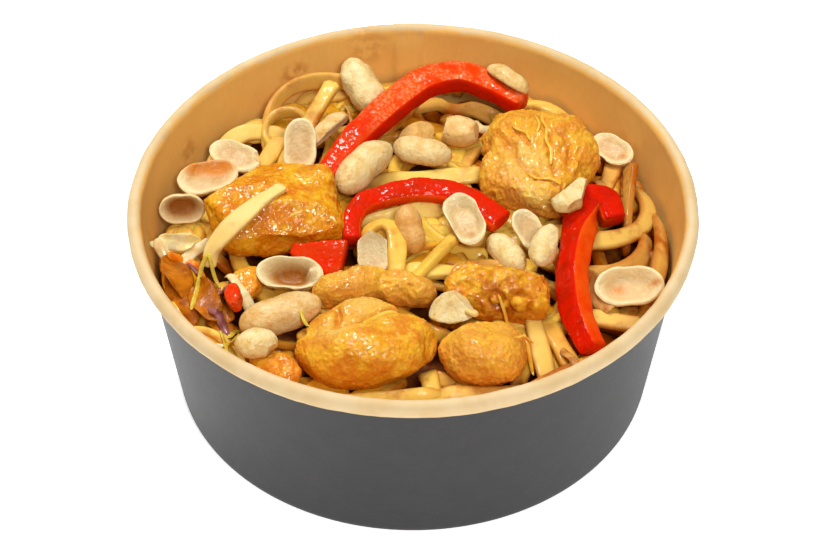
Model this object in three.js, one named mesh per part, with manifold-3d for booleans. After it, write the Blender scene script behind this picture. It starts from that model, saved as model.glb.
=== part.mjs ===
// Round paper takeaway bowl filled with wok noodles, chicken, red pepper, cabbage and peanuts.
// Millimetres, +Z up. The origin is the centre of the foot, on the table, and -Y is the front.
import * as THREE from "three";
import { mergeVertices } from "three/addons/utils/BufferGeometryUtils.js";
import Module from "manifold-3d";

const wasm = await Module();
wasm.setup();

// Driving dimensions of the bowl
const RIM_DIAMETER = 150;
const FOOT_DIAMETER = 130;
const BOWL_HEIGHT = 58;
const PAPER = 0.6; // thickness of the coated paper
const ROLL_WIDTH = 3.8; // the rolled rim is an oval tube
const ROLL_HEIGHT = 5;
const HEM = 1.7; // paper folded round the foot
const BASE_RISE = 5; // underside of the base disc over the table
const SEAM_WIDTH = 8; // overlap where the wall's two ends are glued
const SEAM_ANGLE = 91; // degrees from +X, so that the seam is at the back
const BOWL_SIDES = 64;

// Driving dimensions of the food
const GAP = 0.3; // clearance between neighbours
const CORE_EDGE = 41.2; // height of the bare core at the wall
const CORE_CROWN = 44.4; // and in the middle
const CORE_WAVE = 0.7; // its unevenness
const CORE_SIDES = 40;
const NOODLE_WIDTH = 5;
const NOODLE_THICKNESS = 3.6;
const DRAPED_THICKNESS = 2.4; // the flatter noodle on the left piece of chicken
const NOODLE_SUNK = 1.2; // depth of a noodle's underside in the core
const NOODLE_SIDES = 6;
const NOODLE_STEP = 3.2; // length of one piece of a noodle
const PEPPER_STEP = 4;
const LEAF_THICKNESS = 0.9;

const { degToRad: radians, lerp, clamp } = THREE.MathUtils;
const UP = new THREE.Vector3(0, 0, 1);

// Colour and roughness of each finish
const finishes = {
  kraft: { color: 0xd9ab6c, roughness: 0.75 },
  noodle: { color: 0xe2bd68, roughness: 0.35 },
  chicken: { color: 0xd98a2b, roughness: 0.4 },
  pepper: { color: 0xe01405, roughness: 0.22 },
  peanut: { color: 0xe6c88e, roughness: 0.5 },
  cabbage: { color: 0xdcc98a, roughness: 0.4 },
};
const materials = {};
for (const [name, finish] of Object.entries(finishes)) {
  materials[name] = new THREE.MeshStandardMaterial({ ...finish, metalness: 0 });
}

const dish = new THREE.Group();

function addPiece(name, finish, solid) {
  const mesh = new THREE.Mesh(geometryOf(solid), materials[finish]);
  mesh.name = name;
  dish.add(mesh);
}

// A closed geometry as a solid that can be joined and cut
function solidOf(geometry) {
  geometry.deleteAttribute("normal");
  geometry.deleteAttribute("uv");
  const merged = mergeVertices(geometry, 1e-4);
  const mesh = new wasm.Mesh({
    numProp: 3,
    vertProperties: merged.attributes.position.array,
    triVerts: new Uint32Array(merged.index.array),
  });
  return new wasm.Manifold(mesh);
}

function geometryOf(solid) {
  const mesh = solid.getMesh();
  const geometry = new THREE.BufferGeometry();
  geometry.setAttribute("position", new THREE.BufferAttribute(mesh.vertProperties, 3));
  geometry.setIndex(new THREE.BufferAttribute(mesh.triVerts, 1));
  geometry.computeVertexNormals();
  return geometry;
}

// Moves every vertex of a geometry by a function of its place
function reshape(geometry, place) {
  const position = geometry.attributes.position;
  const point = new THREE.Vector3();
  for (let i = 0; i < position.count; i++) {
    const moved = place(point.fromBufferAttribute(position, i));
    position.setXYZ(i, moved.x, moved.y, moved.z);
  }
  return geometry;
}

function turn(geometry, { roll = 0, pitch = 0, yaw = 0 }) {
  return geometry.rotateX(radians(roll)).rotateY(radians(-pitch)).rotateZ(radians(yaw));
}

// A strip along a curve. `half(t)` is its half width and half thickness, and its broad side faces `facing`
function strip(route, { steps, sides, half, facing = UP }) {
  const straight = new THREE.CylinderGeometry(1, 1, 1, sides, steps).rotateY(Math.PI / sides);
  return reshape(straight, (p) => {
    const t = clamp(p.y + 0.5, 0, 1);
    const [width, thickness] = half(t);
    const along = route.getTangentAt(t);
    const side = along.clone().cross(facing).normalize();
    const out = side.clone().cross(along);
    const place = route.getPointAt(t);
    return place.addScaledVector(side, p.x * width).addScaledVector(out, p.z * thickness);
  });
}

const smoothRoute = (points) => new THREE.CatmullRomCurve3(points.map((p) => new THREE.Vector3(...p)));

// The bowl: a rolled rim, a straight flared wall, a hemmed foot and a base disc set up inside it
const footRadius = FOOT_DIAMETER / 2;
const rollRadius = RIM_DIAMETER / 2 - ROLL_WIDTH / 2;
const rollHeight = BOWL_HEIGHT - ROLL_HEIGHT / 2;
const wallFlare = (rollRadius - ROLL_WIDTH / 2 + PAPER - footRadius) / rollHeight;
const baseTop = BASE_RISE + PAPER;

const outerRadius = (z) => footRadius + wallFlare * z;
const innerRadius = (z) => outerRadius(z) - PAPER;

function bowlProfile() {
  const points = [
    [0, BASE_RISE],
    [footRadius - HEM, BASE_RISE],
    [footRadius - HEM, 0],
    [footRadius, 0],
  ];
  const wallSteps = 4;
  const wallTop = rollHeight - ROLL_HEIGHT * 0.42;
  for (let i = 1; i <= wallSteps; i++) {
    const z = (wallTop * i) / wallSteps;
    points.push([outerRadius(z), z]);
  }
  for (let degrees = -120; degrees <= 180; degrees += 30) {
    const angle = radians(degrees);
    const r = rollRadius + (ROLL_WIDTH / 2) * Math.cos(angle);
    points.push([r, rollHeight + (ROLL_HEIGHT / 2) * Math.sin(angle)]);
  }
  points.push([innerRadius(rollHeight / 2), rollHeight / 2]);
  points.push([innerRadius(baseTop), baseTop]);
  points.push([0, baseTop]);
  return points.map(([r, z]) => new THREE.Vector2(r, z));
}

// Turns a profile of radius and height about +Z
const turned = (profile, sides) => new THREE.LatheGeometry(profile, sides).rotateX(Math.PI / 2);

// The glued overlap: a second layer of paper inside the wall, which runs out under the rim
function seamFlap() {
  const low = baseTop + PAPER;
  const height = rollHeight - low;
  const flap = new THREE.BoxGeometry(SEAM_WIDTH, 1.4 * PAPER, height, 2, 1, 6);
  return reshape(flap, (p) => {
    const share = p.z / height + 0.5;
    const z = low + share * height;
    const runOut = share > 0.99 && p.y < 0 ? 0.8 * PAPER : 0;
    const radius = innerRadius(z) + p.y + runOut;
    const angle = radians(SEAM_ANGLE) - p.x / innerRadius(z);
    return p.set(radius * Math.cos(angle), radius * Math.sin(angle), z);
  });
}

const bowl = solidOf(turned(bowlProfile(), BOWL_SIDES)).add(solidOf(seamFlap()));
addPiece("bowl", "kraft", bowl);

// The bare core of the noodle heap: a low mound that fills the bowl to the level under the top layer
const coreClearance = GAP + PAPER + 0.2; // clear of the wall and of its glued overlap
const coreRadius = innerRadius(CORE_EDGE) - coreClearance;

function coreTop(x, y) {
  const share = Math.min(1, Math.hypot(x, y) / coreRadius);
  const wave = CORE_WAVE * Math.sin(x / 8 + 1) * Math.cos(y / 9);
  return lerp(CORE_CROWN, CORE_EDGE, share * share) + wave;
}

function coreGeometry() {
  const low = baseTop + GAP;
  const rings = 6;
  const profile = [new THREE.Vector2(0, low), new THREE.Vector2(innerRadius(low) - coreClearance, low)];
  for (let i = rings; i >= 0; i--) {
    profile.push(new THREE.Vector2((coreRadius * i) / rings, CORE_EDGE));
  }
  return reshape(turned(profile, CORE_SIDES), (p) => {
    if (p.z > low + GAP) p.z = coreTop(p.x, p.y);
    return p;
  });
}

const core = solidOf(coreGeometry());

// What already lies in the bowl, so that each later piece can come down on it
const pile = [core];

const boxesMeet = (a, b) => [0, 1, 2].every((k) => a.min[k] <= b.max[k] && b.min[k] <= a.max[k]);

function touches(solid, others) {
  const box = solid.boundingBox();
  const near = others.filter((other) => boxesMeet(box, other.boundingBox()));
  return near.some((other) => solid.intersect(other).volume() > 1e-6);
}

// Lets a piece down from above the rim until it meets the pile, and leaves a gap under it
function settle(solid) {
  const drop = 2;
  const closeness = 0.02;
  const lifted = (lift) => solid.translate([0, 0, lift]);
  let free = BOWL_HEIGHT + 12 - solid.boundingBox().min[2];
  while (!touches(lifted(free - drop), pile)) free -= drop;
  let met = free - drop;
  while (free - met > closeness) {
    const middle = (free + met) / 2;
    if (touches(lifted(middle), pile)) met = middle;
    else free = middle;
  }
  return lifted(free + GAP);
}

function addTopping(name, finish, solid) {
  pile.push(solid);
  addPiece(name, finish, solid);
}

// Chicken: lobes with rounded corners and uneven sides, joined and seated on the core
const LOBE_PROUD = 0.33; // height of a lobe's middle over the core, as a share of its own height

function chickenLobe({ at: [x, y], size, blocky, seed, detail = 3, ...angles }) {
  const lobe = reshape(new THREE.IcosahedronGeometry(1, detail), (p) => {
    const spread = [p.x, p.y, p.z].reduce((sum, v) => sum + Math.abs(v) ** blocky, 0);
    const lumps =
      0.07 * Math.sin(3.1 * p.x + 2.3 * p.y + seed) +
      0.06 * Math.sin(4.3 * p.y - 3.7 * p.z + 2.1 * seed) +
      0.05 * Math.cos(5.2 * p.x + 4.1 * p.z + 3.3 * seed);
    const reach = 0.5 * spread ** (-1 / blocky) * (1 + lumps);
    return p.set(p.x * size[0] * reach, p.y * size[1] * reach, p.z * size[2] * reach);
  });
  return solidOf(turn(lobe, angles).translate(x, y, coreTop(x, y) + size[2] * LOBE_PROUD));
}

const chicken = {
  chicken_left: [
    { at: [-37.3, 6], size: [33.5, 25, 13], blocky: 4, yaw: 14, pitch: -4, roll: -4, seed: 1 },
  ],
  chicken_back: [
    { at: [35, 29.5], size: [31, 27, 14.5], blocky: 2.6, yaw: 8, roll: 8, seed: 2 },
    { at: [32.5, 19], size: [28, 25, 14], blocky: 2.4, yaw: -20, seed: 7 },
  ],
  chicken_front: [
    { at: [-11, -46.5], size: [34, 18, 16], blocky: 2.5, yaw: 10, pitch: 5, seed: 3 },
    { at: [-14.5, -38], size: [24, 15, 12], blocky: 2.6, yaw: 14, seed: 5 },
  ],
  chicken_strip: [
    { at: [-16, -24], size: [19, 8.5, 11], blocky: 2.5, yaw: 12, seed: 4, detail: 2 },
    { at: [-2.5, -23.5], size: [17, 8, 10], blocky: 2.5, yaw: -14, seed: 6, detail: 2 },
  ],
  chicken_brown: [{ at: [21.5, -26], size: [28, 13.5, 13], blocky: 3, yaw: -6, roll: 12, seed: 8 }],
  chicken_nugget: [{ at: [18.5, -47], size: [22, 17, 14.5], blocky: 2.4, yaw: 12, seed: 9 }],
  chicken_scrap: [{ at: [-35, -48.5], size: [15, 9, 7.5], blocky: 2.4, yaw: -38, seed: 10, detail: 2 }],
  chicken_flake: [
    { at: [-43.5, -19.5], size: [11, 8, 7], blocky: 3, yaw: 62, roll: 14, seed: 11, detail: 2 },
  ],
};
const seat = core.translate([0, 0, GAP]);
for (const [name, lobes] of Object.entries(chicken)) {
  const solid = lobes.map(chickenLobe).reduce((whole, lobe) => whole.add(lobe));
  addTopping(name, "chicken", solid.subtract(seat));
}

// Red pepper: curved strips, widest in the middle. `ends` is the width at each end as a share
function pepperStrip({ route, width, thickness, facing, ends }) {
  const curve = smoothRoute(route);
  const bulge = 0.3;
  const taper = (t) => lerp(ends[0], ends[1], t) + bulge * Math.sin(Math.PI * t);
  return solidOf(
    strip(curve, {
      steps: Math.round(curve.getLength() / PEPPER_STEP),
      sides: 8,
      half: (t) => [(width / 2) * taper(t), thickness / 2],
      facing: new THREE.Vector3(...facing).normalize(),
    }),
  );
}

const peppers = {
  pepper_back: {
    route: [
      [-24, 19.5, 47],
      [-15.5, 33, 49.5],
      [-5.5, 46, 51],
      [4, 55, 51.8],
      [13.5, 57.5, 51.8],
      [23, 53, 51],
      [30.5, 46.8, 50.6],
    ],
    width: 8.8,
    thickness: 6,
    facing: [-0.1, -0.35, 1],
    ends: [0.75, 0.75],
  },
  pepper_middle: {
    route: [
      [-16.2, -4.8, 46.4],
      [-16.4, 1, 47.6],
      [-13.5, 7.5, 48.4],
      [-5.5, 11.5, 48.6],
      [5, 13, 48.6],
      [15, 9.5, 48],
      [23.5, 2, 46.8],
    ],
    width: 7.2,
    thickness: 5.8,
    facing: [0.1, -0.3, 1],
    ends: [0.7, 0.95],
  },
  pepper_right: {
    route: [
      [53.4, 3, 46],
      [51.4, 8.6, 48],
      [46.6, 8, 49],
      [43.4, -6, 48.6],
      [41.2, -19, 48],
      [41.6, -31, 47.4],
      [43.4, -39, 46.8],
      [45.6, -44.5, 46],
    ],
    width: 9.4,
    thickness: 5.8,
    facing: [-0.45, -0.2, 1],
    ends: [0.7, 0.62],
  },
  pepper_flat: {
    route: [
      [-31.5, -8.5, 43.6],
      [-25, -11.6, 44.2],
      [-18, -13.5, 44.4],
    ],
    width: 10.6,
    thickness: 5.4,
    facing: [0.1, -0.6, 1],
    ends: [0.75, 0.9],
  },
  pepper_chip: {
    route: [
      [-46.2, -24.5, 43.2],
      [-46, -28, 43.6],
      [-45.2, -32, 43.4],
    ],
    width: 5.8,
    thickness: 4.2,
    facing: [-0.2, -0.6, 1],
    ends: [0.6, 0.5],
  },
};
for (const [name, pepper] of Object.entries(peppers)) {
  addTopping(name, "pepper", settle(pepperStrip(pepper)));
}

// Peanuts: split kernels with a domed back and a hollowed face, whole kernels, and chips of kernels
const kernels = {
  half: { dome: 0.5, hollow: 0.16, waist: 0.12 },
  whole: { dome: 0.46, waist: 0.12 },
  chip: { dome: 0.5, hollow: 0.05, waist: 0 },
};

function peanut({ at: [x, y], length, width, kind = "half", ...angles }) {
  const { dome, hollow, waist } = kernels[kind];
  const kernel = reshape(new THREE.SphereGeometry(1, 10, 6).rotateZ(Math.PI / 2), (p) => {
    const pinch = 1 - waist * Math.exp(-((p.x / 0.35) ** 2));
    const onFace = hollow !== undefined && p.z < -1e-6;
    const depth = onFace ? hollow * (1 - p.y * p.y - p.x * p.x) : dome * p.z;
    return p.set((p.x * length) / 2, (p.y * width * pinch) / 2, depth * width * pinch);
  });
  return solidOf(turn(kernel, angles).translate(x, y, 0));
}

// A roll of about 180 turns the hollowed face up
const peanuts = [
  { at: [-14, 57], length: 19, width: 11, yaw: 122, pitch: 24, kind: "whole" },
  { at: [-22.5, 40], length: 15, width: 9, yaw: 52, roll: -62 },
  { at: [-13.5, 21], length: 21, width: 11, yaw: 52, pitch: 6, kind: "whole" },
  { at: [-31, 30.5], length: 16, width: 10, yaw: 88, pitch: 32, roll: 180 },
  { at: [-49, 30.5], length: 16, width: 9.5, yaw: -32, roll: 195 },
  { at: [-55.8, 20.8], length: 17, width: 11, yaw: 20, roll: 196 },
  { at: [-62, 8.6], length: 12.5, width: 9, yaw: 4, roll: 246 },
  { at: [1.3, 39.6], length: 12, width: 8.5, yaw: 30, pitch: 8, kind: "chip" },
  { at: [13, 41], length: 12, width: 9.5, yaw: -14, roll: 20, kind: "chip" },
  { at: [2.5, 30.5], length: 17, width: 10, yaw: -16 },
  { at: [26.4, 53], length: 15, width: 8, yaw: 134, roll: 35 },
  { at: [55, 34], length: 14, width: 9, yaw: -48, roll: 196 },
  { at: [42, 5], length: 14, width: 9, yaw: 56, kind: "chip" },
  { at: [13.6, -0.5], length: 18, width: 10.5, yaw: -70, pitch: -8, roll: 192 },
  { at: [24.6, -7], length: 15, width: 8.5, yaw: -58 },
  { at: [31, -1.8], length: 13, width: 8.5, yaw: 122, pitch: 24, roll: 180 },
  { at: [34.4, -10], length: 15, width: 8.5, yaw: 74, roll: 12 },
  { at: [-10.5, -13], length: 13, width: 9, yaw: 92, pitch: 48, roll: 180 },
  { at: [-0.8, -1.4], length: 14, width: 8, yaw: 104, pitch: 26 },
  { at: [-32, -19.2], length: 18, width: 10.5, yaw: -10, pitch: 4, roll: 200 },
  { at: [-34, -33], length: 22, width: 11, yaw: 17, pitch: 9, kind: "whole" },
  { at: [-39.4, -45.5], length: 11, width: 8.5, yaw: 8, roll: 12, kind: "chip" },
  { at: [10, -35], length: 13.5, width: 10, yaw: -8, pitch: 8, kind: "chip" },
  { at: [56, -22], length: 18, width: 12, yaw: 4, pitch: 2, roll: 202 },
];
peanuts.forEach((kernel, i) => {
  addTopping(`peanut_${String(i + 1).padStart(2, "0")}`, "peanut", settle(peanut(kernel)));
});

// Noodles: flat strands with blunt ends
const noodleSteps = (route) => Math.max(3, Math.round(route.getLength() / NOODLE_STEP));

function noodle(route, { grow = 0, thickness = NOODLE_THICKNESS } = {}) {
  return solidOf(
    strip(route, {
      steps: noodleSteps(route),
      sides: NOODLE_SIDES,
      half: () => [NOODLE_WIDTH / 2 + grow, thickness / 2 + grow],
    }),
  );
}

// One noodle is draped over the left piece of chicken
const drapedRoute = smoothRoute([
  [-34, 6, 58],
  [-43.5, -2.5, 57.4],
  [-51.5, -9.5, 54],
  [-55, -14, 48],
]);
addTopping("noodle_draped", "noodle", settle(noodle(drapedRoute, { thickness: DRAPED_THICKNESS })));

// Cabbage: thin wavy leaves, both faces cut alike
function cabbageLeaf({ at: [x, y], length, width, wave, ...angles }) {
  const waves = 1.5;
  const pointed = 0.35;
  const leaf = reshape(new THREE.BoxGeometry(length, width, LEAF_THICKNESS, 10, 3, 1), (p) => {
    const u = p.x / length;
    const v = p.y / width;
    const ruffle = Math.sin(2 * Math.PI * waves * u + 1.2 * v) * (0.6 + 0.8 * Math.abs(v));
    p.z += wave * (ruffle + 0.8 * v * v);
    p.y *= 1 - pointed * (2 * u) ** 2;
    return p;
  });
  return solidOf(turn(leaf, angles).translate(x, y, 0));
}

const cabbages = {
  cabbage_pale: { at: [-63, -2.6], length: 11.5, width: 6.5, yaw: -4, roll: 38, wave: 1.2 },
  cabbage_edge: { at: [-62, -15], length: 14, width: 8, yaw: -76, roll: -22, wave: 1.1 },
  cabbage_inner: { at: [-54, -24], length: 14, width: 7.5, yaw: -62, roll: 16, wave: 1.3 },
};
for (const [name, leaf] of Object.entries(cabbages)) {
  addTopping(name, "cabbage", settle(cabbageLeaf(leaf)));
}

// A strand lies along an arc of even bend. Its height over the core goes from lift[0] to lift[1],
// with an arch between
class Strand extends THREE.Curve {
  constructor({ start, heading, length, bend = 0, lift = [0, 0], arch = 0 }) {
    super();
    const straight = 0.01;
    Object.assign(this, { start, length, lift, arch });
    this.heading = radians(heading);
    this.bend = radians(bend || straight);
  }

  getPoint(t, target = new THREE.Vector3()) {
    const radius = this.length / this.bend;
    const ahead = this.heading + this.bend * t;
    const x = this.start[0] + radius * (Math.sin(ahead) - Math.sin(this.heading));
    const y = this.start[1] - radius * (Math.cos(ahead) - Math.cos(this.heading));
    const lift = lerp(this.lift[0], this.lift[1], t) + this.arch * Math.sin(Math.PI * t);
    return target.set(x, y, coreTop(x, y) + NOODLE_THICKNESS / 2 - NOODLE_SUNK + lift);
  }
}

// The part of a route between two shares of its length
class Stretch extends THREE.Curve {
  constructor(route, from, to) {
    super();
    Object.assign(this, { route, from, to });
  }

  getPoint(t, target) {
    return this.route.getPointAt(lerp(this.from, this.to, t), target);
  }
}

// The top layer of noodles, laid in the gaps between the toppings
const strands = [
  { start: [-41, 43], heading: 88, bend: -88, length: 30, lift: [-0.4, 4], arch: 3 },
  { start: [-37, 36], heading: 95, bend: -135, length: 22, lift: [0.5, 1], arch: 3 },
  { start: [-23, 57], heading: -116, length: 17, lift: [4, -0.4] },
  { start: [-42, 27], heading: 66, length: 14, lift: [1, 2] },
  { start: [-54, 35], heading: 62, bend: -70, length: 17, lift: [-0.4, 1], arch: 2 },
  { start: [-27, 60], heading: 14, length: 13, lift: [1, 1] },
  { start: [-8, 63], heading: 6, length: 15 },
  { start: [16, 63], heading: -20, length: 15, lift: [1, 1] },
  { start: [32, 57], heading: -34, length: 15, lift: [0.6, -0.4], arch: 2 },
  { start: [51, 18], heading: 62, bend: 20, length: 15 },
  { start: [57.5, 6], heading: 84, length: 20, lift: [0, 5] },
  { start: [61.8, 19.9], heading: -63, bend: -112, length: 33, lift: [-0.4, 3] },
  { start: [62, -1], heading: -92, bend: -88, length: 20 },
  { start: [66.2, 4], heading: -88, bend: -16, length: 17, lift: [1, 1] },
  { start: [47, -29], heading: -14, length: 11.5, lift: [0, 1] },
  { start: [31, -34], heading: -80, length: 17, lift: [1, 0] },
  { start: [33, -53], heading: 28, length: 13, lift: [1, 1] },
  { start: [11, -58], heading: 6, length: 15, lift: [1, 1] },
  { start: [4.5, -54], heading: -82, length: 9 },
  { start: [-18, -60], heading: 4, length: 20, lift: [1, 1] },
  { start: [-30, -57], heading: -12, length: 11 },
  { start: [-53, -38], heading: -46, length: 14, lift: [1, 0] },
  { start: [-57.4, -33.6], heading: 0, bend: -62, length: 14, arch: 1 },
  { start: [-5, 22], heading: 6, length: 21 },
  { start: [-12, 5], heading: 14, length: 23 },
  { start: [11, -3], heading: -126, length: 19, lift: [1, 1] },
  { start: [2, -14], heading: -4, length: 15 },
];

// The longest stretch of a strand that is clear of its neighbours, or null where none is long enough
function clearStretch(route, neighbours) {
  const steps = noodleSteps(route);
  const fewest = 3;
  let best = [0, 0];
  let from = 0;
  for (let i = 0; i < steps; i++) {
    const piece = noodle(new Stretch(route, i / steps, (i + 1) / steps), { grow: GAP });
    if (touches(piece, neighbours)) from = i + 1;
    else if (i + 1 - from > best[1] - best[0]) best = [from, i + 1];
  }
  const [first, last] = best;
  return last - first < fewest ? null : new Stretch(route, first / steps, last / steps);
}

// The heap is the core with every strand that has room joined to it
const neighbours = [bowl, ...pile.slice(1)];
let heap = core;
for (const strand of strands) {
  const route = clearStretch(new Strand(strand), neighbours);
  if (!route) continue;
  const piece = noodle(route);
  if (touches(piece, [heap])) heap = heap.add(piece);
}
addPiece("noodle_heap", "noodle", heap);

export default dish;
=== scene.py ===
import math
import random
from dataclasses import dataclass, field

import bmesh
import bpy
import numpy as np
from mathutils import Matrix, Vector, noise
from mathutils.bvhtree import BVHTree


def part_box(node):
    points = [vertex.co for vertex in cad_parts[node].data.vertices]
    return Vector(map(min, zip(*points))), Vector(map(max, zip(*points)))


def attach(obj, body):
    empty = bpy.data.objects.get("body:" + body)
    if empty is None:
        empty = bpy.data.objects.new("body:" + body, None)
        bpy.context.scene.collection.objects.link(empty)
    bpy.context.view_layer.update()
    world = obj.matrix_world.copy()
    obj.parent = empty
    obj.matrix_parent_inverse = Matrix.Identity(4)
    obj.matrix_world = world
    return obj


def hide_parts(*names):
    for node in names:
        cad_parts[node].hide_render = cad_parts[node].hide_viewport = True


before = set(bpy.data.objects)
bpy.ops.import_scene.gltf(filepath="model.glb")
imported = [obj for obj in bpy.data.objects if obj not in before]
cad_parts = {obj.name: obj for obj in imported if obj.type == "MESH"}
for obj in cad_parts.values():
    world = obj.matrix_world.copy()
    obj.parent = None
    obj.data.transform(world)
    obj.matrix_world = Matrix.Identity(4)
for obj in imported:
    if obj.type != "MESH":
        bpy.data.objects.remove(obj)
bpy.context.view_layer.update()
MM = 0.001

# Bowl, as in the solids
RIM_RADIUS = 75.0
FOOT_RADIUS = 65.0
BOWL_HEIGHT = 58.0
PAPER = 0.6
ROLL_WIDTH = 3.8
ROLL_HEIGHT = 5.0
HEM = 1.7
BASE_RISE = 5.0
SEAM_WIDTH = 8.0
SEAM_ANGLE = 91.0
ROLL_RADIUS = RIM_RADIUS - ROLL_WIDTH / 2
ROLL_MIDDLE = BOWL_HEIGHT - ROLL_HEIGHT / 2
WALL_FLARE = (ROLL_RADIUS - ROLL_WIDTH / 2 + PAPER - FOOT_RADIUS) / ROLL_MIDDLE

# Level of the noodles, as in the solids
CORE_EDGE = 41.2
CORE_CROWN = 44.4
CORE_WAVE = 0.7
NOODLE_WIDTH = 5.0
NOODLE_THICKNESS = 3.6
NOODLE_SUNK = 1.2

# Camera: where the photograph was taken from, for a picture of 826 by 551
PICTURE_WIDTH = 826
FOCAL_PIXELS = 2400.0
CAMERA_DISTANCE = 650.0
CAMERA_ELEVATION = 44.11
PRINCIPAL_DROP = 1.5


def srgb(red, green, blue):
    """A colour on the scale of 0 to 255 as a linear colour."""
    shares = [level / 255 for level in (red, green, blue)]
    return (*[s / 12.92 if s <= 0.04045 else ((s + 0.055) / 1.055) ** 2.4 for s in shares], 1.0)


class Wire:
    """A socket in a material's tree. Arithmetic on wires adds Math nodes."""

    def __init__(self, tree, socket=None):
        self.tree = tree
        self.socket = socket

    def node(self, kind, settings=None, inputs=None, output=0):
        """Adds a node: its settings first, then the values or links of its sockets. Gives one output."""
        made = self.tree.nodes.new("ShaderNode" + kind)
        for name, value in (settings or {}).items():
            setattr(made, name, value)
        for name, value in (inputs or {}).items():
            if isinstance(value, Wire):
                self.tree.links.new(value.socket, made.inputs[name])
            else:
                made.inputs[name].default_value = value
        return Wire(self.tree, made.outputs[output] if made.outputs else None)

    def math(self, operation, first, second):
        return self.node("Math", {"operation": operation}, {0: first, 1: second})

    def __add__(self, other):
        return self.math("ADD", self, other)

    def __radd__(self, other):
        return self.math("ADD", other, self)

    def __sub__(self, other):
        return self.math("SUBTRACT", self, other)

    def __rsub__(self, other):
        return self.math("SUBTRACT", other, self)

    def __mul__(self, other):
        return self.math("MULTIPLY", self, other)

    def __rmul__(self, other):
        return self.math("MULTIPLY", other, self)

    def ramp(self, low, high):
        """0 below low, 1 above high, and smooth between."""
        sockets = {"Value": self, "From Min": low, "From Max": high}
        return self.node("MapRange", {"interpolation_type": "SMOOTHSTEP"}, sockets)

    def mix(self, first, second):
        """The first colour where this wire is 0, and the second where it is 1."""
        return self.node("Mix", {"data_type": "RGBA"}, {0: self, 6: first, 7: second}, 2)

    def place(self):
        """The point on the object, in millimetres."""
        metres = self.node("TexCoord", output="Object")
        return self.node("VectorMath", {"operation": "SCALE"}, {0: metres, "Scale": 1 / MM})

    def stretched(self, x, y, z):
        """This vector with each axis scaled."""
        return self.node("VectorMath", {"operation": "MULTIPLY"}, {0: self, 1: (x, y, z)})

    def speckle(self, size, detail=3.0, roughness=0.55):
        """Noise with patches of about that size, in millimetres, on this place."""
        sockets = {"Vector": self, "Scale": 1 / size, "Detail": detail, "Roughness": roughness}
        return self.node("TexNoise", None, sockets, "Fac")

    def marks(self, *names):
        """Values that the mesh carries at its points."""
        return [self.node("Attribute", {"attribute_name": name}, output="Fac") for name in names]

    def near(self, spot, reach):
        """1 at a spot of this place, and 0 beyond its reach."""
        gap = self.node("VectorMath", {"operation": "DISTANCE"}, {0: self, 1: spot}, "Value")
        return 1 - gap.ramp(reach * 0.35, reach)

    def relief(self, strength, depth):
        """A normal that follows this height, with its depth in millimetres."""
        sockets = {"Height": self, "Strength": strength, "Distance": depth * MM}
        return self.node("Bump", None, sockets, "Normal")


def finish(name, sockets_of):
    """A material whose shader takes the sockets that a function of a wire gives."""
    material = bpy.data.materials.new(name)
    material.use_nodes = True
    material.node_tree.nodes.clear()
    wire = Wire(material.node_tree)
    shader = wire.node("BsdfPrincipled", None, sockets_of(wire))
    wire.node("OutputMaterial", None, {"Surface": shader})
    return material


def kraft_paper(wire):
    place = wire.place()
    fibres = place.stretched(1, 1, 0.3).speckle(0.9, 4)
    clouds = place.speckle(9)
    from_axis = wire.node("VectorMath", {"operation": "LENGTH"}, {0: place.stretched(1, 1, 0)}, "Value")
    rim = (from_axis + place.speckle(6, 3) * 1.6).ramp(ROLL_RADIUS - 0.9, ROLL_RADIUS - 0.1)
    wall = fibres.ramp(0.3, 0.7).mix(srgb(242, 187, 98), srgb(244, 191, 104))
    wall = (clouds.ramp(0.45, 0.75) * 0.4).mix(wall, srgb(238, 177, 88))
    edge = clouds.ramp(0.3, 0.7).mix(srgb(216, 184, 132), srgb(225, 198, 152))
    colour = rim.mix(wall, edge)
    stain = place.near((-13, 69, 53), 8) * 0.3 + place.near((-33, 61, 49), 6) * 0.5
    stain = stain + place.near((-60, 32, 46), 6) * 0.4 + place.near((-66, -4, 46), 6) * 0.8
    ragged = stain * place.speckle(2.5).ramp(0.35, 0.6)
    colour = ragged.mix(colour, srgb(184, 96, 22))
    return {
        "Base Color": colour,
        "Roughness": 0.62 - ragged * 0.3,
        "Normal": fibres.relief(0.3, 0.1),
        "Specular IOR Level": 0.18,
    }


def grey_paper(wire):
    place = wire.place()
    grain = place.speckle(0.7, 5, 0.65)
    clouds = place.speckle(7, 5, 0.6)
    colour = clouds.ramp(0.35, 0.7).mix(srgb(24, 21, 21), srgb(31, 28, 28))
    colour = (grain.ramp(0.5, 0.75) * 0.4).mix(colour, srgb(46, 45, 47))
    return {
        "Base Color": colour,
        "Roughness": 0.42 + grain * 0.2,
        "Normal": (grain + clouds * 1.5).relief(0.3, 0.15),
        "Specular IOR Level": 0.5,
    }


def sauce_and_gap_shade(wire):
    place = wire.place()
    return {
        # Dark brown: the sauced colour, made darker as painted shade for the gaps between the strands
        "Base Color": place.speckle(4).ramp(0.3, 0.7).mix(srgb(84, 36, 10), srgb(124, 64, 14)),
        "Roughness": 0.5,
        "Specular IOR Level": 0.05,
        "Normal": place.speckle(2).relief(0.4, 0.5),
    }


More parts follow.
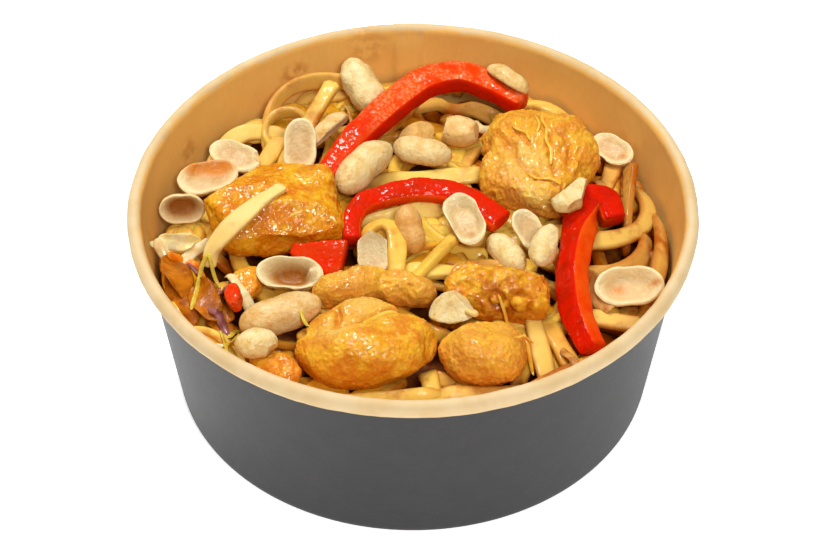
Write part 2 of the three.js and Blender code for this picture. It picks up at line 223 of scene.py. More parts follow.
def noodle_dough(wire):
    place = wire.place()
    tint, soaked, edge, pale = wire.marks("tint", "soaked", "edge", "pale")
    clouds = place.speckle(6, 3)
    pools = place.speckle(22, 2)
    soft = place.speckle(2.2, 1)
    yellow = (tint * 0.55 + clouds * 0.6).ramp(0.3, 0.9)
    colour = yellow.mix(srgb(234, 194, 78), srgb(216, 150, 22))
    # Amber: painted shade on strands deep in the heap, with sauce, patches and darker strand edges
    amber = soaked * 0.85 + clouds.ramp(0.5, 0.7) * 0.3 + pools.ramp(0.45, 0.65) * 0.3 + edge * 0.3
    colour = (pale * (0.5 + clouds)).mix(colour, srgb(240, 209, 134))
    colour = amber.ramp(0.15, 1.05).mix(colour, srgb(168, 82, 0))
    return {
        "Base Color": colour,
        "Roughness": 0.4,
        "Normal": (soft * 0.6 + clouds).relief(0.5, 0.5),
        "Subsurface Weight": 0.3,
        "Subsurface Radius": (1.0, 0.55, 0.2),
        "Subsurface Scale": 1.2 * MM,
        "Specular IOR Level": 0.1,
        "Coat Weight": soft.ramp(0.48, 0.6) * (1 - pale).ramp(0.2, 0.9) * 0.45,
        "Coat Roughness": 0.13,
    }


def fried_chicken(wire):
    place = wire.place()
    crease, brown, low, pale = wire.marks("crease", "brown", "low", "pale")
    clouds = place.speckle(7, 2)
    patches = place.speckle(2.8, 2)
    wrinkles = place.speckle(1.8, 1.5)
    beads = place.speckle(0.9, 1)
    colour = clouds.ramp(0.36, 0.64).mix(srgb(229, 163, 24), srgb(217, 127, 4))
    colour = (patches.ramp(0.5, 0.7) * 0.5).mix(colour, srgb(204, 102, 2))
    colour = (patches.ramp(0.48, 0.32) * 0.5).mix(colour, srgb(238, 190, 64))
    colour = (pale * (0.5 + clouds)).mix(colour, srgb(231, 187, 90))
    # Darker orange towards the bottom of each piece: painted shade, with sauce pooled there
    colour = (low.ramp(0.35, 0.95) * 0.75).mix(colour, srgb(206, 106, 2))
    # Creases and rings round the knobs painted darker orange: painted shade
    colour = (crease * 0.6).mix(colour, srgb(206, 116, 10))
    colour = (brown * patches.ramp(0.35, 0.6)).mix(colour, srgb(162, 68, 8))
    return {
        "Base Color": colour,
        "Roughness": 0.4,
        "Normal": (wrinkles + beads * 0.4).relief(0.6, 0.8),
        "Subsurface Weight": 0.5,
        "Subsurface Radius": (1.0, 0.5, 0.15),
        "Subsurface Scale": 1.4 * MM,
        "Specular IOR Level": 0.1,
        "Coat Weight": beads.ramp(0.46, 0.54) * 0.85,
        "Coat Roughness": 0.09,
    }


def red_pepper(wire):
    place = wire.place()
    wet, orange = wire.marks("wet", "orange")
    beads = place.speckle(0.9, 1.5)
    clouds = place.speckle(5)
    red = clouds.ramp(0.35, 0.7).mix(srgb(213, 18, 1), srgb(182, 2, 1))
    flame = clouds.ramp(0.3, 0.7).mix(srgb(223, 58, 2), srgb(232, 86, 14))
    # Pale speckles on the wet orange side: painted glints
    painted_glints = beads.ramp(0.38, 0.7) * (wet * orange).ramp(0.35, 0.8) * clouds.ramp(0.36, 0.56) * 0.7
    return {
        "Base Color": painted_glints.mix(orange.mix(red, flame), srgb(244, 140, 92)),
        "Roughness": 0.4,
        "Normal": (beads * (0.1 + wet * 0.35) + clouds).relief(0.6, 0.5),
        "Subsurface Weight": 0.15,
        "Subsurface Radius": (1.0, 0.12, 0.05),
        "Subsurface Scale": 1.5 * MM,
        "Specular IOR Level": 0.02,
        "Coat Weight": (0.2 + wet * 0.7) * beads.ramp(0.53, 0.6),
        "Coat Roughness": 0.11,
    }


def roasted_peanut(wire):
    place = wire.place()
    face, hollow, stain, tone, low = wire.marks("face", "hollow", "stain", "tone", "low")
    fine = place.speckle(0.6, 4, 0.6)
    clouds = place.speckle(3.2, 3)
    lines = place.speckle(2.4, 1)
    crack = lines.ramp(0.475, 0.5) * lines.ramp(0.525, 0.5) * (1 - face) * clouds.ramp(0.4, 0.6)
    pale = clouds.ramp(0.35, 0.72).mix(srgb(234, 214, 157), srgb(225, 192, 119))
    golden = clouds.ramp(0.35, 0.72).mix(srgb(226, 172, 84), srgb(208, 138, 48))
    colour = tone.mix(pale, golden)
    # Golden towards the underside: painted shade, with some sauce and roast colour
    colour = (low.ramp(0.45, 1.0) * 0.7).mix(colour, srgb(214, 148, 58))
    colour = (face * (1 - hollow) * 0.7).mix(colour, srgb(238, 221, 174))
    # Darker brown in the hollow: painted shade
    colour = (hollow * (0.6 + clouds * 0.6)).mix(colour, srgb(156, 92, 26))
    specks = fine.ramp(0.62, 0.72) * (1 - face)
    colour = (specks * 0.25 + crack * 0.5).mix(colour, srgb(186, 122, 54))
    colour = (stain * (0.4 + clouds)).mix(colour, srgb(206, 126, 38))
    return {
        "Base Color": colour,
        "Roughness": 0.3 + fine * 0.2,
        "Normal": (place.speckle(1.0, 1) + clouds).relief(0.6, 0.5),
        "Subsurface Weight": 0.2,
        "Subsurface Radius": (1.0, 0.7, 0.4),
        "Subsurface Scale": 1.0 * MM,
        "Specular IOR Level": 0.15,
        "Coat Weight": fine.ramp(0.5, 0.62) * 0.35,
        "Coat Roughness": 0.2,
    }


def limp_leaf(wire):
    place = wire.place()
    (tint,) = wire.marks("tint")
    veins = place.speckle(1.8, 2)
    clouds = place.speckle(5)
    pale = clouds.ramp(0.3, 0.7).mix(srgb(240, 228, 178), srgb(226, 196, 112))
    soaked = clouds.ramp(0.3, 0.7).mix(srgb(198, 116, 16), srgb(146, 74, 4))
    return {
        "Base Color": tint.mix(pale, soaked),
        "Roughness": 0.32,
        "Normal": veins.relief(0.7, 0.5),
        "Subsurface Weight": 0.5,
        "Subsurface Radius": (1.0, 0.6, 0.2),
        "Subsurface Scale": 1.2 * MM,
        "Specular IOR Level": 0.15,
        "Coat Weight": veins.ramp(0.54, 0.6) * 0.25,
        "Coat Roughness": 0.1,
    }


def shred_flesh(light, dark):
    """The finish of the shreds of one vegetable, between two colours."""

    def sockets_of(wire):
        place = wire.place()
        streaks = place.speckle(1.8, 2)
        return {
            "Base Color": place.speckle(3).ramp(0.3, 0.7).mix(srgb(*light), srgb(*dark)),
            "Roughness": 0.36,
            "Normal": streaks.relief(0.4, 0.4),
            "Subsurface Weight": 0.5,
            "Subsurface Radius": (1.0, 0.6, 0.3),
            "Subsurface Scale": 1.0 * MM,
            "Specular IOR Level": 0.15,
            "Coat Weight": streaks.ramp(0.5, 0.6) * 0.6,
            "Coat Roughness": 0.1,
        }

    return sockets_of


def studio_floor(wire):
    dust = wire.place().speckle(60, 2)
    return {
        "Base Color": dust.mix(srgb(250, 250, 250), srgb(254, 254, 254)),
        "Roughness": 0.9,
        "Emission Color": (1, 1, 1, 1),
        "Emission Strength": 0.6,
    }


# Meshes
POINTS_BETWEEN_CORNERS = 24


def placed(name, data):
    """A new object in the scene."""
    made = bpy.data.objects.new(name, data)
    bpy.context.scene.collection.objects.link(made)
    return made


def make_piece(name, points, faces, finishes, nodes=(), marks=None, face_finish=None):
    """A smooth piece that rides on the part and stands for the nodes it replaces."""
    mesh = bpy.data.meshes.new(name)
    mesh.from_pydata((np.asarray(points) * MM).tolist(), [], faces)
    for material in finishes:
        mesh.materials.append(material)
    if face_finish is not None:
        mesh.polygons.foreach_set("material_index", face_finish)
    for mark, values in (marks or {}).items():
        values = np.asarray(values, np.float32)
        mesh.attributes.new(mark, "FLOAT", "POINT").data.foreach_set("value", values)
    mesh.shade_smooth()
    mesh.update()
    piece = placed(name, mesh)
    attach(piece, "root")
    if nodes:
        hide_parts(*nodes)
    return piece


def grid_faces(rows, columns, first=0):
    """Quads between rows of points, where each row is a closed ring."""
    row = np.arange(rows - 1)[:, None] * columns
    column = np.arange(columns)[None, :]
    after = (column + 1) % columns
    corners = (row + column, row + after, row + columns + after, row + columns + column)
    return (np.stack(corners, -1).reshape(-1, 4) + first).tolist()


class Batch:
    """Tubes and other closed grids gathered into one mesh, with their marks."""

    def __init__(self):
        self.points = []
        self.faces = []
        self.marks = {}
        self.count = 0

    def add(self, rings, **marks):
        """Adds rings of points as a tube that is closed at both ends."""
        rows, columns, _ = rings.shape
        size = rows * columns
        self.faces += grid_faces(rows, columns, self.count)
        self.faces.append(list(range(self.count + columns - 1, self.count - 1, -1)))
        self.faces.append(list(range(self.count + size - columns, self.count + size)))
        self.points.append(rings.reshape(-1, 3))
        for mark, values in marks.items():
            spread = np.broadcast_to(values, (rows, columns)).reshape(-1)
            self.marks.setdefault(mark, []).append(spread)
        self.count += size

    def piece(self, name, material, slot, nodes=()):
        points = np.concatenate(self.points)
        marks = {mark: np.concatenate(values) for mark, values in self.marks.items()}
        return make_piece(name, points, self.faces, [material], nodes, marks)


def smooth_step(low, high, value):
    share = np.clip((value - low) / (high - low), 0, 1)
    return share * share * (3 - 2 * share)


def unit(vectors):
    return vectors / np.maximum(np.linalg.norm(vectors, axis=-1, keepdims=True), 1e-9)


def between(a, b, low, high, t):
    """The point at t on a line that is at a for the low value and at b for the high one."""
    return a * (high - t) / (high - low) + b * (t - low) / (high - low)


def smooth_route(corners, step):
    """A centripetal curve through the corners, as evenly spaced points."""
    corners = np.array(corners, float)
    before = 2 * corners[0] - corners[1]
    after = 2 * corners[-1] - corners[-2]
    ends = np.vstack([before, corners, after])
    drawn = []
    for p0, p1, p2, p3 in zip(ends, ends[1:], ends[2:], ends[3:]):
        gaps = [np.linalg.norm(b - a) ** 0.5 for a, b in ((p0, p1), (p1, p2), (p2, p3))]
        k0, k1, k2, k3 = np.cumsum([0, *gaps])
        t = np.linspace(k1, k2, POINTS_BETWEEN_CORNERS, endpoint=False)[:, None]
        first = between(p0, p1, k0, k1, t)
        middle = between(p1, p2, k1, k2, t)
        last = between(p2, p3, k2, k3, t)
        early = between(first, middle, k0, k2, t)
        late = between(middle, last, k1, k3, t)
        drawn.append(between(early, late, k1, k2, t))
    return even_points(np.vstack([*drawn, corners[-1:]]), step)


def lengths_along(points):
    """The length of a line up to each of its points."""
    return np.concatenate([[0], np.cumsum(np.linalg.norm(np.diff(points, axis=0), axis=1))])


def even_points(points, step):
    """The same line with points at even spacing."""
    lengths = lengths_along(points)
    count = max(4, round(lengths[-1] / step) + 1)
    places = np.linspace(0, lengths[-1], count)
    return np.stack([np.interp(places, lengths, points[:, k]) for k in range(3)], 1)


def section(sides, square):
    """A closed outline of radius 1: round for a squareness of 2, and boxy above."""
    angle = (np.arange(sides) + 0.5) * 2 * math.pi / sides
    c, s = np.cos(angle), np.sin(angle)
    across = np.sign(c) * np.abs(c) ** (2 / square)
    up = np.sign(s) * np.abs(s) ** (2 / square)
    return angle, across, up


def sweep(route, width, thickness, outline, facing=(0, 0, 1), twist=0.0):
    """Rings along a route. Width and thickness may change along it, and its broad side faces one way."""
    _, across, up = outline
    along = unit(np.gradient(route, axis=0))
    side = unit(np.cross(along, np.broadcast_to(np.array(facing, float), along.shape)))
    out = np.cross(side, along)
    turn = np.broadcast_to(np.asarray(twist, float), len(route))[:, None]
    side, out = side * np.cos(turn) + out * np.sin(turn), out * np.cos(turn) - side * np.sin(turn)
    half = np.broadcast_to(np.asarray(width, float) / 2, len(route))[:, None, None]
    deep = np.broadcast_to(np.asarray(thickness, float) / 2, len(route))[:, None, None]
    spread = side[:, None, :] * across[None, :, None] * half
    return route[:, None, :] + spread + out[:, None, :] * up[None, :, None] * deep


def blunt_ends(route, roundness, first=0.3):
    """How far the section has grown at each point, from its first share, for rounded ends."""
    lengths = lengths_along(route)
    gap = np.minimum(lengths, lengths[-1] - lengths)
    share = np.clip(gap / roundness, 0, 1)
    return first + (1 - first) * np.sqrt(1 - (1 - share) ** 2)


def seat(points, node):
    """Moves points up or down to where a node lies."""
    low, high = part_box(node)
    flat = points.reshape(-1, 3)
    middle = (low.z + high.z) / 2 / MM
    return points + np.array([0, 0, middle - (flat[:, 2].min() + flat[:, 2].max()) / 2])


def stand_in(node, name, rings, material, slot, **marks):
    """A piece of one closed grid, seated where the node is that it replaces."""
    batch = Batch()
    batch.add(seat(rings, node), **marks)
    return batch.piece(name, material, slot, [node])


def rough(point, size, seed):
    """Noise from -1 to 1 with lumps of about that size."""
    return noise.noise(Vector(point) / size + Vector((seed * 7.3, seed * 3.1, seed * 5.7)))


def rough_at(points, size, seed):
    """The same noise at each of the points."""
    values = [rough(point, size, seed) for point in points.reshape(-1, 3)]
    return np.array(values).reshape(points.shape[:-1])


def bridged(levels, reach, weights):
    """The highest level within reach of each point of a line, evened out by weights."""
    padded = np.pad(levels, reach, mode="edge")
    highest = np.max([padded[i : i + len(levels)] for i in range(2 * reach + 1)], 0)
    return np.convolve(np.pad(highest, len(weights) // 2, mode="edge"), weights / weights.sum(), "valid")


def lowness(level):
    """0 at the top of a piece and 1 at its bottom."""
    return (level.max() - level) / (level.max() - level.min())


def spot_shares(points, spots):
    """1 at spots seen from above, falling off over the reach of each."""
    shares = np.zeros(points.shape[:-1])
    for x, y, reach in spots:
        shares += np.exp(-((points[..., 0] - x) ** 2 + (points[..., 1] - y) ** 2) / reach**2)
    return shares


# Bowl. Dents in the rim and in the inside of the wall: depth, size and seed of each kind
DENTS = [(0.16, 1.6, 3), (0.1, 0.6, 5)]
DENT_CIRCLE = 20
DENT_STRETCH = 6
SEAM_STEP = PAPER * 0.9
SEAM_BULGE = PAPER * 0.35
FOOT_EDGE = 0.4
HEM_EDGE = 0.25
NEAR_AXIS = 0.01
ANGLE_STEP = 1.5


def inner_radius(height):
    return FOOT_RADIUS + WALL_FLARE * height - PAPER


def bowl_profile():
    """Radius and height round the paper, from under the base out, up, over the roll, and down inside."""
    hem_radius = FOOT_RADIUS - HEM
    outside = [(NEAR_AXIS, BASE_RISE), (hem_radius, BASE_RISE), (hem_radius, HEM_EDGE)]
    outside += [(hem_radius + HEM_EDGE, 0), (FOOT_RADIUS - FOOT_EDGE, 0), (FOOT_RADIUS, FOOT_EDGE)]
    wall_top = ROLL_MIDDLE - ROLL_HEIGHT * 0.42
    for height in np.linspace(1.5, wall_top, 24):
        outside.append((FOOT_RADIUS + WALL_FLARE * height, height))
    roll = []
    for degrees in range(-120, 181, 12):
        angle = math.radians(degrees)
        radius = ROLL_RADIUS + ROLL_WIDTH / 2 * math.cos(angle)
        roll.append((radius, ROLL_MIDDLE + ROLL_HEIGHT / 2 * math.sin(angle)))
    base_top = BASE_RISE + PAPER
    inside = [(inner_radius(height), height) for height in np.linspace(wall_top, base_top, 20)]
    inside.append((NEAR_AXIS, base_top))
    return np.array(outside + roll + inside), len(outside), len(outside) + len(roll)


def bowl_angles():
    """Angles round the bowl, close together at the two edges of the seam."""
    half = math.degrees(SEAM_WIDTH / 2 / inner_radius(ROLL_MIDDLE))
    fine = 0.12
    seam = [SEAM_ANGLE + side * half + gap for side in (-1, 1) for gap in (-fine, fine)]
    even = [a for a in np.arange(0, 360, ANGLE_STEP) if all(abs(a - edge) > 0.6 for edge in seam)]
    return np.radians(np.sort(np.array(even + seam))), math.radians(half)


def make_bowl(kraft, grey):
    profile, roll_start, roll_end = bowl_profile()
    angles, seam_half = bowl_angles()
    points = []
    for i, (radius, height) in enumerate(profile):
        for angle in angles:
            r = radius
            on_seam = abs(angle - math.radians(SEAM_ANGLE)) < seam_half
            if i >= roll_start and height > BASE_RISE + 2:
                spot = (math.cos(angle) * DENT_CIRCLE, math.sin(angle) * DENT_CIRCLE, height / DENT_STRETCH)
                r += sum(depth * rough(spot, size, seed) for depth, size, seed in DENTS)
            if on_seam and i >= roll_end:
                r -= SEAM_STEP
            if on_seam and roll_start < i < roll_end:
                r += SEAM_BULGE
            points.append((r * math.cos(angle), r * math.sin(angle), height))
    rows, columns = len(profile), len(angles)
    faces = grid_faces(rows, columns)
    in_row = np.arange(len(faces)) // columns
    is_grey = (in_row > 1) & (in_row < roll_start + 1)
    make_piece(
        "paper_bowl", points, faces, [kraft, grey], ["bowl"], face_finish=is_grey.astype(int)
    )


# Noodles
CORE_RADIUS = inner_radius(CORE_EDGE) - 1.1
PILE_DEPTH = 7.5
PILE_SPACING = 1.0
CELLS_ACROSS = 6
STRAND_STEP = 1.2
TOP_STEP = STRAND_STEP * 0.8
WALL_GAP = 3.2
TURNING_GAP = 6.0
MOST_BEND = 0.06
BEND_KEPT = 0.97
BEND_DRIFT = 0.012
WALL_BEND = 0.05
LAID_STRANDS = 122
LAID_WIDTH = (4.0, 5.4)
LAID_THICKNESS = (1.9, 2.6)
LAID_LENGTH = (36, 80)
LAID_PROUD = (-1.5, 1.0)
LAID_ROLL = (-0.7, 0.7)
DIVE_STEEPNESS = 0.075
NOODLE_OUTLINE = section(12, 4.2)


def core_top(x, y):
    share = np.minimum(1, np.hypot(x, y) / CORE_RADIUS)
    wave = CORE_WAVE * np.sin(x / 8 + 1) * np.cos(y / 9)
    return CORE_CROWN + (CORE_EDGE - CORE_CROWN) * share * share + wave


def make_core(material):
    """The inside of the heap, under the strands: sauced dark brown, made darker still as painted shade in the
    gaps between them.
    """
    angles = np.linspace(0, 2 * math.pi, 72, endpoint=False)
    low = BASE_RISE + PAPER + 0.3
    rings = [(NEAR_AXIS, low), (inner_radius(low) - 0.6, low)]
    rings += [(CORE_RADIUS * share, None) for share in np.linspace(1, 0.001, 20)]
    points = []
    for radius, height in rings:
        for angle in angles:
            x, y = radius * math.cos(angle), radius * math.sin(angle)
            points.append((x, y, core_top(x, y) - PILE_DEPTH if height is None else height))
    faces = grid_faces(len(rings), len(angles))
    make_piece("noodle_core", points, faces, [material], ["noodle_heap"])


class Pile:
    """The height of the noodles laid so far, on a square grid."""

    def __init__(self):
        self.half = int((CORE_RADIUS + 4) / PILE_SPACING)
        axis = np.arange(-self.half, self.half + 1) * PILE_SPACING
        x, y = np.meshgrid(axis, axis, indexing="ij")
        self.top = core_top(x, y) - PILE_DEPTH

    def cells(self, x, y):
        size = len(self.top) - 1
        return (
            np.clip(np.rint(x / PILE_SPACING).astype(int) + self.half, 0, size),
            np.clip(np.rint(y / PILE_SPACING).astype(int) + self.half, 0, size),
        )

    def lay(self, line, width, thickness, proud):
        """Lets a strand down along a line, no more than that proud of the core, and gives its route."""
        along = unit(np.gradient(line, axis=0))
        side = np.stack([along[:, 1], -along[:, 0]], 1)
        across = np.linspace(-0.45, 0.45, CELLS_ACROSS) * width
        x = line[:, :1] + side[:, :1] * across
        y = line[:, 1:] + side[:, 1:] * across
        cells = self.cells(x, y)
        bell = np.exp(-((np.arange(-5, 6) / 3.0) ** 2))
        level = bridged(self.top[cells].max(1), 4, bell)
        level = np.minimum(level, core_top(line[:, 0], line[:, 1]) + proud - thickness)
        np.maximum.at(self.top, cells, np.repeat((level + thickness * 0.9)[:, None], CELLS_ACROSS, 1))
        return np.column_stack([line, level + thickness / 2])


def wandering_line(draw, length):
    """A line of slowly changing bend that stays inside the bowl."""
    angle = draw.uniform(0, 2 * math.pi)
    radius = CORE_RADIUS * math.sqrt(draw.random()) * 0.93
    x, y = radius * math.cos(angle), radius * math.sin(angle)
    heading = draw.uniform(0, 2 * math.pi)
    bend = draw.uniform(-MOST_BEND, MOST_BEND)
    line = []
    for _ in range(int(length / STRAND_STEP)):
        line.append((x, y))
        bend = BEND_KEPT * bend + draw.gauss(0, BEND_DRIFT)
        if math.hypot(x, y) > CORE_RADIUS - TURNING_GAP:
            turn = math.sin(heading - math.atan2(y, x))
            bend += WALL_BEND if turn >= 0 else -WALL_BEND
        heading += bend * STRAND_STEP
        x += math.cos(heading) * STRAND_STEP
        y += math.sin(heading) * STRAND_STEP
        reach = math.hypot(x, y) / (CORE_RADIUS - WALL_GAP)
        if reach > 1:
            x, y = x / reach, y / reach
    return np.array(line)


def bedded(x, y):
    """The middle of a strand that lies a little sunk in the top of the core."""
    return core_top(x, y) + NOODLE_THICKNESS / 2 - NOODLE_SUNK


@dataclass
class Strand:
    """An arc of even bend over the core. Angles are in degrees, the lift over the core is that of both ends,
    a dive is how far an end runs on down into the heap, and a roll of 90 stands the strand on its edge."""

    start: tuple
    heading: float
    length: float
    bend: float = 0.01
    lift: tuple = (0, 0)
    arch: float = 0
    dive: tuple = (7, 7)
    roll: float = 0

    def route(self):
        bend = math.radians(self.bend)
        heading = math.radians(self.heading)
        t = np.arange(-self.dive[0], self.length + self.dive[1] + 0.01, TOP_STEP) / self.length
        radius = self.length / bend
        x = self.start[0] + radius * (np.sin(heading + bend * t) - math.sin(heading))
        y = self.start[1] - radius * (np.cos(heading + bend * t) - math.cos(heading))
        inside = np.clip(t, 0, 1)
        over = (t - inside) * self.length
        first, last = self.lift
        height = first + (last - first) * inside + self.arch * np.sin(math.pi * inside)
        height = height - DIVE_STEEPNESS * over * over
        lean = np.maximum(0, height) * WALL_FLARE + 1.2
        reach = np.maximum(1, np.hypot(x, y) / (CORE_RADIUS - WALL_GAP + lean))
        x, y = x / reach, y / reach
        return np.column_stack([x, y, bedded(x, y) + height])


@dataclass
class Loop:
    """A strand through spots, each with its lift over the core."""

    spots: list
    roll: float

    def route(self):
        route = smooth_route(self.spots, TOP_STEP)
        route[:, 2] += bedded(route[:, 0], route[:, 1])
        return route


# Noodles of the top layer, as in the solids, with one more at the right front
TOP_STRANDS = [
    Strand((-41, 43), 88, 30, bend=-88, lift=(0.6, 5), arch=3, roll=-72),
    Strand((-41.5, 41), 95, 22, bend=-190, lift=(1, 1), arch=3, roll=78),
    Strand((-22.4, 56), -117, 24, lift=(9, 0.8), dive=(0, 6), roll=6),
    Strand((-42, 27), 66, 14, lift=(1, 2), dive=(6, 0), roll=10),
    Strand((-54, 35), 62, 17, bend=-70, lift=(-0.4, 1), arch=2, roll=-40),
    Strand((-27, 60), 14, 13, lift=(1, 1)),
    Strand((-8, 63), 6, 15, roll=30),
    Strand((16, 63), -20, 15, lift=(1, 1)),
    Strand((32, 57), -34, 15, lift=(0.6, -0.4), arch=2, roll=30),
    Strand((51, 18), 62, 15, bend=20, roll=20),
    Strand((57.5, 6), 84, 20, lift=(0, 5), dive=(8, 0), roll=70),
    Strand((61.8, 19.9), -63, 33, bend=-112, lift=(-0.4, 3), roll=35),
    Strand((62, -1), -92, 20, bend=-88, roll=40),
    Strand((66.2, 4), -88, 17, bend=-16, lift=(1, 1), roll=60),
    Strand((47, -29), -14, 11.5, lift=(0, 1), roll=-10),
    Strand((31, -34), -80, 17, lift=(1, 0), roll=15),
    Strand((33, -53), 28, 13, lift=(1, 1), roll=-30),
    Strand((11, -58), 6, 15, lift=(1, 1), roll=-25),
    Strand((4.5, -54), -82, 9),
    Strand((-18, -60), 4, 20, lift=(1, 1), roll=-35),
    Strand((-30, -57), -12, 11, roll=-20),
    Strand((-53, -38), -46, 14, lift=(1, 0)),
    Strand((-57.4, -33.6), 0, 14, bend=-62, arch=1, roll=50),
    Strand((-5, 22), 6, 21, roll=-30),
    Strand((-12, 5), 14, 23, roll=-40),
    Strand((11, -3), -126, 19, lift=(1, 1), roll=-25),
    Strand((2, -14), -4, 15),
    Loop(
        [
            (-14.5, -5, -4),
            (-12.6, -2.2, 1.6),
            (-10.6, -0.2, 2.8),
            (-7.8, 0.4, 3.2),
            (-5.4, -1.6, 3.2),
            (-4.3, -5.2, 2.8),
            (-4.2, -10, 2),
            (-4.6, -15, 0.6),
            (-4.8, -20, -4),
        ],
        roll=15,
    ),
    Strand((-29, -37), -30, 6, lift=(1.2, 1.2), dive=(0, 0)),
    Strand((36, -36.5), -68, 13, lift=(0, 0.6), roll=12),
]


def add_strand(batch, draw, route, width, thickness, soaked, roll, pale):
    """Adds one noodle, sauced more at the right and at the front, with painted shade where it lies deep in
    the heap.
    """
    sauced = 0.55 * smooth_step(40, 58, route[:, 0]) + 0.3 * smooth_step(-38, -56, route[:, 1])
    grown = blunt_ends(route, 0.8, 0.6)
    share = np.linspace(0, 1, len(route))
    wobble = 1 + 0.06 * np.sin(share * draw.uniform(6, 14) + draw.uniform(0, 6))
    twist = roll + 0.25 * np.sin(share * draw.uniform(2, 5) + draw.uniform(0, 6))
    rings = sweep(route, width * grown * wobble, thickness * grown, NOODLE_OUTLINE, twist=twist)
    edge = smooth_step(0.55, 1.0, np.abs(NOODLE_OUTLINE[1]))[None, :]
    batch.add(rings, tint=draw.random(), pale=pale, soaked=(soaked + sauced)[:, None], edge=edge)


def make_noodles(material):
    draw = random.Random(11)
    batch = Batch()
    pile = Pile()
    for _ in range(LAID_STRANDS):
        width = draw.uniform(*LAID_WIDTH)
        thickness = draw.uniform(*LAID_THICKNESS)
        line = wandering_line(draw, draw.uniform(*LAID_LENGTH))
        route = pile.lay(line, width, thickness, draw.uniform(*LAID_PROUD))
        depth = core_top(route[:, 0], route[:, 1]) - route[:, 2]
        # Strands lower in the heap are painted darker amber: painted shade
        soaked = smooth_step(0.6, 4.5, depth)
        roll = draw.uniform(*LAID_ROLL)
        pale = draw.uniform(-0.4, 0.3)
        add_strand(batch, draw, route, width, thickness, soaked, roll, pale)
    for strand in TOP_STRANDS:
        route = strand.route()
        depth = core_top(route[:, 0], route[:, 1]) - route[:, 2]
        thickness = NOODLE_THICKNESS * draw.uniform(0.54, 0.66)
        # Where a top strand dives into the heap it is painted darker amber: painted shade
        soaked = smooth_step(0.2, 5, depth)
        pale = draw.uniform(0.0, 0.45)
        add_strand(batch, draw, route, NOODLE_WIDTH, thickness, soaked, math.radians(strand.roll), pale)
    return batch.piece("noodles", material, "noodle", ["noodle_heap"])


# The noodle that lies over the left piece of chicken
DRAPED_ROUTE = [
    (-34.3, 5.8, 57.6),
    (-39, 1.4, 57.4),
    (-44, -3.8, 56.6),
    (-49, -8.6, 54.4),
    (-52.3, -11.4, 51),
    (-53.4, -14, 47),
]
DRAPED_THICKNESS = 1.5


def make_draped_noodle(material):
    route = smooth_route(DRAPED_ROUTE, 0.6)
    outline = section(24, 5)
    grown = blunt_ends(route, 0.6, 0.7)
    share = np.linspace(0, 1, len(route))
    belly = np.sin(math.pi * np.clip(share * 1.1 - 0.1, 0, 1)) ** 1.5
    width = NOODLE_WIDTH * grown * (0.72 + 0.45 * belly)
    rings = sweep(route, width, DRAPED_THICKNESS * grown, outline, twist=0.3 * share - 0.1)
    edge = smooth_step(0.6, 1.0, np.abs(outline[1]))[None, :] * 0.5
    marks = {"tint": 0.0, "pale": 0.8, "soaked": 0.0, "edge": edge}
    return stand_in("noodle_draped", "draped_noodle", rings, material, "noodle", **marks)


# Chicken
@dataclass
class Meat:
    """The look of one piece of chicken, with its fibres at an angle seen from above."""

    fibre: float
    lumps: float
    seed: int
    folds: float = 0.4
    crags: float = 0.0
    swell: float = 0.0
    crease_depth: float = 0.9
    # Shares of brown and of pale colour all over
    brown: float = 0.0
    pale: float = 0.1
    # Corners drawn out: where, how far round it and which way
    pulls: list = field(default_factory=list)
    # Flat faces: which way each looks and how deep it goes
    cuts: list = field(default_factory=list)
    # Lines seen from above
    creases: list = field(default_factory=list)
    # Knobs, each with its radius
    nubs: list = field(default_factory=list)
    # Spots seen from above, each with its reach
    fair: list = field(default_factory=list)
    burnt: list = field(default_factory=list)


CHICKEN = {
    "chicken_left": Meat(
        fibre=20,
        lumps=0.3,
        seed=1,
        swell=1.2,
        brown=0.14,
        pale=0.0,
        pulls=[((-23, 14.5, 52), 6, (1.2, 0.6, 3.4)), ((-20, -1, 48), 5, (1.5, -0.6, 0))],
        cuts=[
            ((-0.12, 0.3, 0.95), 2.0),
            ((-0.55, 0.55, 0.63), 3.6),
            ((0.12, -0.6, 0.78), 2.6),
            ((1, 0.05, 0.05), 1.6),
            ((-0.8, -0.5, 0.4), 1.6),
        ],
    ),
    "chicken_back": Meat(
        fibre=80,
        lumps=0.6,
        seed=2,
        folds=0.9,
        pale=0.2,
        fair=[(29.5, 19, 6), (32, 7, 5)],
        cuts=[((-0.1, -0.2, 1), 0.8)],
        creases=[
            [(22.9, 30.2), (26.3, 23.6), (29.3, 17.1), (32.9, 13), (37.4, 10.6)],
            [(35.1, 36.4), (36.2, 29.3), (37.2, 19.8), (38.2, 13.7)],
            [(26, 32.1), (29.6, 27.1), (31.7, 24.7)],
            [(41.4, 27.7), (42.4, 21.5), (41.6, 16.2)],
        ],
    ),
    "chicken_front": Meat(
        fibre=12,
        lumps=0.4,
        seed=3,
        fair=[(-12, -33.5, 6.5), (-19, -44.5, 4.5)],
        crease_depth=1.9,
        creases=[
            [(-20, -44), (-13, -42), (-9.3, -38.8), (-5.8, -36.7), (-2, -36), (2, -36.3)],
            [(-20, -43.9), (-18.4, -39.6), (-19.2, -35.3)],
        ],
    ),
    "chicken_strip": Meat(fibre=5, lumps=0.8, seed=4, folds=0.8, pale=0.35),
    "chicken_brown": Meat(
        fibre=-6,
        lumps=0.9,
        seed=5,
        crags=0.7,
        brown=0.2,
        burnt=[(22, -33, 5.5)],
        nubs=[(27, -32.8, 51.2, 2.2), (21, -32, 52, 1.6)],
    ),
    "chicken_nugget": Meat(fibre=40, lumps=0.5, seed=6, pale=0.3),
    "chicken_scrap": Meat(fibre=-38, lumps=0.5, seed=7, brown=0.1),
    "chicken_flake": Meat(fibre=60, lumps=0.3, seed=8, cuts=[((0, -0.3, 1), 1.2)]),
}
CHICKEN_VOXEL = 0.36
